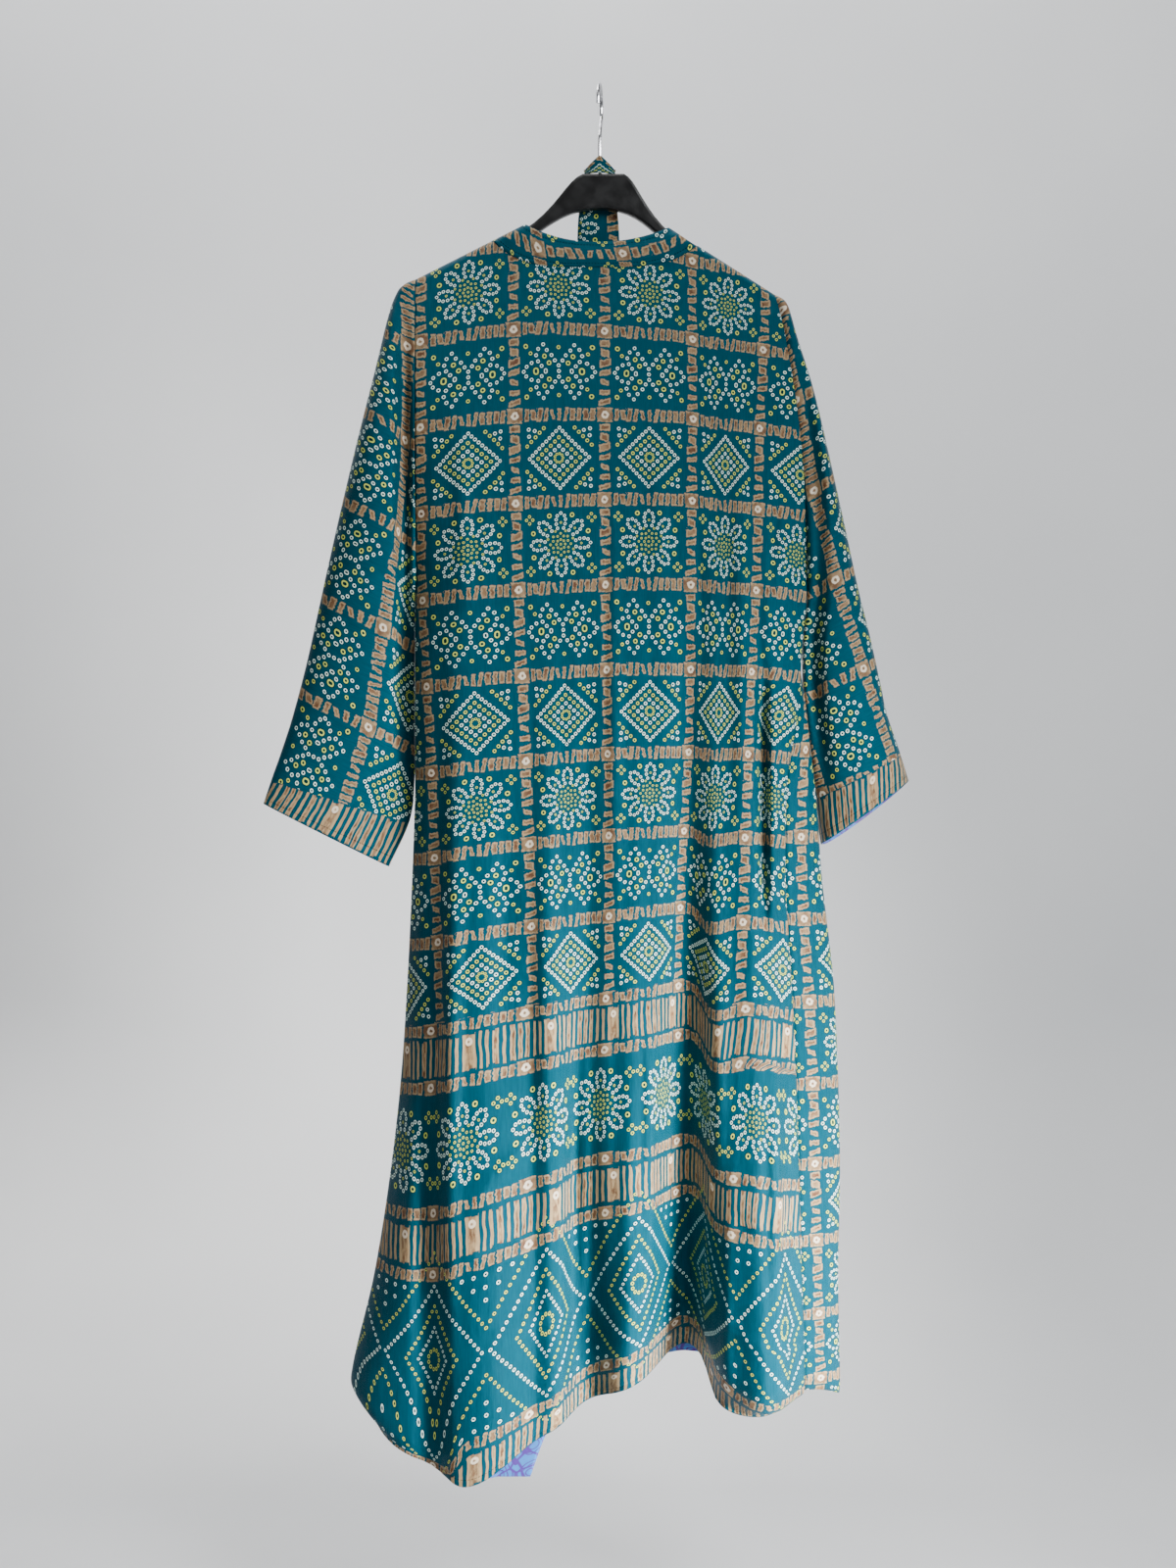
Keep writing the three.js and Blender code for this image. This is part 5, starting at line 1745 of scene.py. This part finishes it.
@dataclass
class Sleeve:
    """One sleeve with its cuff and the lining inside the cuff."""

    side: Side
    drape: Drape
    silk: Material
    lining: Material
    slant: float = math.radians(25)
    chain_column: float = 600.0
    chain_row: float = 455.0
    past_chain: float = 0.96
    cuff_band: float = 38.0
    cuff_column: float = 210.0
    cuff_mark: float = 46.5
    around_steps: int = 88
    arm_parts: int = 9
    length_steps: int = 72
    lining_from: Pair = (0.1, 0.64)
    lining_inset: float = 1.6
    lining_steps: tuple[int, int] = (61, 31)

    @property
    def name(self) -> str:
        """Name of the sleeve's cloth."""
        return f"sleeve_cloth_{self.side.word}"

    def crossing(self, run: Array, past: Array, drop: Array) -> Pair:
        """Where a row of the sleeve's back meets the chain of bars.

        Args:
            run: Length along the row from the inner edge.
            past: How far outside the chain each point of the row lies.
            drop: Drop of each point.

        Returns:
            The length along the row and the drop there, beyond the row where it misses the chain.
        """
        if past[0] > 0:
            return -past[0], drop[0]
        if past[-1] < 0:
            return run[-1] - past[-1], drop[-1]
        rising = np.maximum.accumulate(past)
        return np.interp(0, rising, run), np.interp(0, rising, drop)

    def print_places(self, points: Array) -> Array:
        """Places on the print, a quarter turned, with one chain of bars down the back.

        Args:
            points: The sleeve's grid of points.

        Returns:
            Places on the flat print in millimetres.
        """
        back = slice(self.around_steps // 2 + 1)
        run = lengths(points, 1)
        chain = CHAINS[self.side]
        drops, reach, mark = (chain.column(name) for name in chain.names)
        first = (mark[1] - mark[0]) / (drops[1] - drops[0])
        places = np.empty(points.shape[:2] + (2,))
        for j, row in enumerate(points):
            out, drop = self.side.value * row[back, 0], -row[back, 2]
            at, level = self.crossing(run[j, back], out - np.interp(drop, drops, reach), drop)
            along = np.interp(level, drops, mark) + first * min(0, level - drops[0])
            along = along + self.past_chain * max(0, level - drops[-1])
            tilt = self.slant - math.atan2(drop[0] - drop[-1], abs(out[-1] - out[0]) + 1e-6)
            away = run[j] - at
            places[j, :, 0] = along + away * math.sin(tilt) + self.chain_column
            places[j, :, 1] = self.chain_row + self.side.value * away * math.cos(tilt)
        return places

    def build(self) -> Object:
        """Makes the sleeve with a band of stripes at the cuff.

        Returns:
            The finished sleeve.
        """
        around = np.linspace(0, 2, self.around_steps + 1)
        arm = np.linspace(0, UNDERARM_ROW, UNDERARM_ROW * self.arm_parts + 1)
        rest = UNDERARM_ROW + np.linspace(0, 1, self.length_steps + 1)[1:]
        turned, place = np.meshgrid(around, np.concatenate([arm, rest]))
        points = self.drape.sleeve(self.side, turned, place)
        run, fall = lengths(points, 1), lengths(points, 0)
        to_cuff = fall[-1:] - fall
        first = int(np.argmin(np.abs(to_cuff[:, self.around_steps // 4] - self.cuff_band)))
        band = to_cuff * self.cuff_band / to_cuff[first : first + 1]
        sheet = Cloth(
            self.name, points, self.print_places(points), stacked(run, band), self.side.value,
            ("back_panel",), cuff_row=first,
            cuff_map=stacked(run + self.cuff_column, FAR_BORDER + self.cuff_mark - band),
        )
        return sheet.build(self.silk, self.lining)

    def cuff_lining(self) -> Object:
        """Makes the lining inside the end of the sleeve.

        Returns:
            The finished lining.
        """
        (seam, inside), (around_steps, steps) = self.lining_from, self.lining_steps
        rows = UNDERARM_ROW + np.linspace(inside, 1, steps)
        turned, place = np.meshgrid(np.linspace(seam, 2 - seam, around_steps), rows)
        points = self.drape.sleeve(self.side, turned, place)
        points = points + facing(points) * self.lining_inset * self.side.value
        outward, owner = -self.side.value, (self.name,)
        sheet = Cloth("cuff_lining", points, outward=outward, hung_from=owner, wall=LINING_WALL)
        return sheet.build(self.lining, self.lining)


@dataclass(frozen=True)
class Belt:
    """The belt hung over the hanger, with a loop round the foot of the hook."""

    middle: float = -1.5
    half: float = 22.5
    near: float = 8.6
    far: float = 11.4
    first_tail: Numbers = (1098, 900, 700, 500, 340, 220, 160)
    last_tail: Numbers = (160, 220, 340, 500, 700, 880, 1052)
    drawn_in: tuple[Numbers, ...] = ((11.4, 128, 0.86, -2.5), (10.8, 108, 0.5, -5.5))
    into_loop: Rungs = (((-16, 9.8, -95), (-5, 9.8, -97)), ((-17, 7.6, -88), (-10, 7, -92.4)))
    loop: Dots = ((16, 2, 89.4), (9.92, -3, 84), (4.8, -5, 79.5))
    loop_front: Numbers = (0, -6, 76)
    loop_foot: float = -94.1
    out_of_loop: Rungs = (
        ((17, 7, -88), (10, 7, -92.4)),
        ((15, 7.8, -97), (-3, 7.8, -97)),
        ((18.5, 8.6, -128), (-20, 8.6, -128)),
    )
    steps: int = 8
    across_steps: int = 12
    mark_drop: float = 149.0
    mark_row: float = 45.5
    rows_above: float = 1638.0
    column_shift: float = 14.5
    column: float = 300.0
    stitch: float = 5.6

    def level(self, y: float, drop: float, spread: float, centre: float) -> tuple:
        """The two ends of a level section."""
        reach = self.half * spread
        return (centre - reach, y, -drop), (centre + reach, y, -drop)

    def sections(self) -> Array:
        """The two edges of the belt at each of its sections.

        Returns:
            Two lists of points.
        """
        rows = [self.level(self.far, drop, 1, self.middle) for drop in self.first_tail]
        rows += [self.level(*section) for section in self.drawn_in]
        rows += self.into_loop
        loop = [(-x, y, high) for x, y, high in self.loop] + [self.loop_front] + list(self.loop[::-1])
        rows += [((x, y, -high), (x, y, self.loop_foot)) for x, y, high in loop]
        rows += self.out_of_loop
        rows += [self.level(self.near, drop, 1, self.middle)[::-1] for drop in self.last_tail]
        return np.array(rows, float).swapaxes(0, 1)

    def build(self, silk: Material) -> Object:
        """Makes the belt.

        Args:
            silk: Its finish.

        Returns:
            The finished belt.
        """
        sections = self.sections()
        last, middle = sections.shape[1] - 1, self.across_steps // 2
        at, stops = np.linspace(0, last, last * self.steps + 1), np.arange(last + 1)
        edges = (stacked(*(track(stops, side[:, k], at) for k in range(3))) for side in sections)
        share = np.linspace(0, 1, self.across_steps + 1)
        points = strip(*edges, share)
        run = lengths(points, 0)[:, middle : middle + 1]
        tail = len(points) - 60
        mark = int(np.argmin(np.abs(points[tail:, middle, 2] + self.mark_drop))) + tail
        width = 2 * self.half
        v = run - run[mark] + self.mark_row + self.rows_above
        u = self.middle + self.half - width * share - self.column_shift + self.column
        edge = stacked(v, width * np.minimum(share, 1 - share) + self.stitch)
        return Cloth("belt_strip", points, stacked(u, v), edge, wall=1.0).build(silk, silk)


# The studio


@dataclass(frozen=True)
class Lamp:
    """One soft square light."""

    name: str
    place: Triple
    size: float
    power: float
    colour: Colour
    aim: Triple
    spread: float = 180.0

    def build(self) -> None:
        """Adds the light, turned to what it is aimed at."""
        data = bpy.data.lights.new(self.name, "AREA")
        data.shape = "SQUARE"
        data.size = self.size
        data.energy = self.power
        data.color = self.colour
        data.spread = math.radians(self.spread)
        obj = bpy.data.objects.new(self.name, data)
        obj.location = self.place
        obj.rotation_euler = (Vector(self.aim) - Vector(self.place)).to_track_quat("-Z", "Y").to_euler()
        bpy.context.scene.collection.objects.link(obj)


@dataclass(frozen=True)
class FloorFinish(Finish):
    """Pale floor and wall, clear from behind so that the wall doesn't hide the robe's front."""

    dark: Colour = (0.72, 0.73, 0.75, 1)
    light: Colour = (0.82, 0.83, 0.84, 1)
    roughness: float = 0.9

    def build(self) -> Material:
        """Makes the material.

        Returns:
            The finished material.
        """
        material, chart = self.start()
        nodes = material.node_tree.nodes
        cloud = chart.noise(chart.made("ShaderNodeTexCoord", (), "Object"), 3, 4)
        self.dress(material, Base_Color=chart.mix(cloud, self.dark, self.light), Roughness=self.roughness)
        behind = chart.made("ShaderNodeNewGeometry", (), "Backfacing")
        pale = Value(chart, nodes["Principled BSDF"].outputs[0])
        clear = chart.made("ShaderNodeBsdfTransparent", ())
        shown = chart.made("ShaderNodeMixShader", (behind, pale, clear))
        chart.put(nodes["Material Output"].inputs["Surface"], shown)
        return material


@dataclass(frozen=True)
class Studio:
    """Camera, lights, floor and backdrop."""

    middle_x: float = -0.0126
    middle_z: float = -0.7476
    reach: float = 2.4
    frame_height: float = 1.68
    sensor: float = 36.0
    floor_z: float = -1.66
    floor_front: float = -7.0
    floor_half: float = 6.0
    wall_y: float = 1.1
    wall_top: float = 3.5
    sweep: float = 0.6
    sky_colour: Colour = (0.86, 0.88, 0.9, 1)
    sky_light: float = 0.07
    sky_seen: float = 0.5
    lamps: tuple[Lamp, ...] = (
        Lamp("key", (1.1, -0.88, -1.6), 0.5, 31, (1, 0.99, 0.97), (0, 0, -1.4), 70),
        Lamp("fill", (1.2, -1.6, 0.5), 0.9, 43, (0.97, 0.99, 1), (0, 0, -0.6)),
        Lamp("back_wall", (-0.4, 0.1, 1.9), 1.6, 78, (1, 1, 1), (0, 1.1, 0)),
    )

    def camera(self) -> None:
        """Places the camera level with the middle of the robe."""
        data = bpy.data.cameras.new("camera")
        data.sensor_fit = "AUTO"
        data.sensor_width = self.sensor
        data.lens = self.sensor * self.reach / self.frame_height
        data.clip_end = 50
        obj = bpy.data.objects.new("camera", data)
        obj.location = (self.middle_x, -self.reach, self.middle_z)
        obj.rotation_euler = (math.pi / 2, 0, 0)
        bpy.context.scene.collection.objects.link(obj)
        bpy.context.scene.camera = obj

    def sky(self) -> None:
        """Sets a faint sky, which the camera sees brighter than it lights the robe."""
        world = bpy.data.worlds.new("studio")
        world.use_nodes = True
        background = world.node_tree.nodes["Background"]
        background.inputs[0].default_value = self.sky_colour
        chart = Chart(world.node_tree)
        seen = chart.made("ShaderNodeLightPath", (), "Is Camera Ray")
        chart.put(background.inputs[1], seen.step(0, 1, self.sky_light, self.sky_seen))
        bpy.context.scene.world = world

    def floor(self) -> None:
        """Lays the floor, swept up into the back wall."""
        turns, r = [k / 12 * math.pi / 2 for k in range(13)], self.sweep
        line = [(self.floor_front, self.floor_z)]
        line += [
            (self.wall_y - r + r * math.sin(turn), self.floor_z + r - r * math.cos(turn)) for turn in turns
        ]
        line.append((self.wall_y, self.wall_top))
        count = len(line)
        points = [(x, y, z) for x in (-self.floor_half, self.floor_half) for y, z in line]
        mesh = bpy.data.meshes.new("floor")
        mesh.from_pydata(points, [], [(k, count + k, count + k + 1, k + 1) for k in range(count - 1)])
        mesh.materials.append(FloorFinish("pale_floor").build())
        floor = bpy.data.objects.new("floor", mesh)
        bpy.context.scene.collection.objects.link(floor)
        take_up(floor)
        bpy.ops.object.shade_smooth()
        floor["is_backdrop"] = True

    def build(self) -> None:
        """Builds the stage."""
        for lamp in self.lamps:
            lamp.build()
        self.sky()
        self.floor()


def place(obj: Object, slot: str, node: str) -> None:
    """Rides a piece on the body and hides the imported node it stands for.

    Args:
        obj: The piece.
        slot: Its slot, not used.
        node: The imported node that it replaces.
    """
    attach(obj, BODY)
    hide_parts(node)


def main() -> None:
    """Builds the robe, its hanger and the studio, in order."""
    logging.basicConfig(level=logging.INFO, format="%(message)s")
    deselect()
    studio = Studio()
    studio.camera()
    groups = {
        "print": SariPrint().build(), "weave": weave_group(), "scrolls": scroll_group(),
        "stitch": stitch_group(),
    }
    silk = SilkFinish("bordered_silk").build(groups)
    plain = SilkFinish("grid_silk", border=FAR_BORDER).build(groups)
    blue = LiningFinish("blue_lining", (0.015, 0.16, 0.5, 1), (0.055, 0.01, 0.22, 1)).build(groups)
    drape = Drape()
    body = RobeBody(drape, silk, plain, blue)
    left, right = (Sleeve(side, drape, plain, blue) for side in Side)
    printed = {
        "back": body.back(), "front_left": body.front(Side.LEFT), "front_right": body.front(Side.RIGHT),
        "neck_band": body.band(), "sleeve_left": left.build(), "sleeve_right": right.build(),
        "belt": Belt().build(plain),
    }
    linings = {"lining_front_left": body.front_lining(), "lining_sleeve_right": right.cuff_lining()}
    for slot, pieces in (("printed_silk", printed), ("lining", linings)):
        for node, obj in pieces.items():
            place(obj, slot, node)
    plastic = HardFinish("black_plastic", (0.003, 0.003, 0.0035, 1), 0.36, 0.0).build()
    steel = HardFinish("bright_steel", (0.55, 0.55, 0.57, 1), 0.26, 1.0).build()
    for name, material in (("hanger", plastic), ("hook", steel)):
        node = frame["nodes"][name]
        node.data.materials.clear()
        node.data.materials.append(material)
        LOG.info("%s: shown as packed, in %s", name, material.name)
    studio.build()
    boxes = {"cad": CAD_BOX, "visual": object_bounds()}
    {word: [list(corner) for corner in box] for word, box in boxes.items()}


if __name__ == "__main__":
    main()
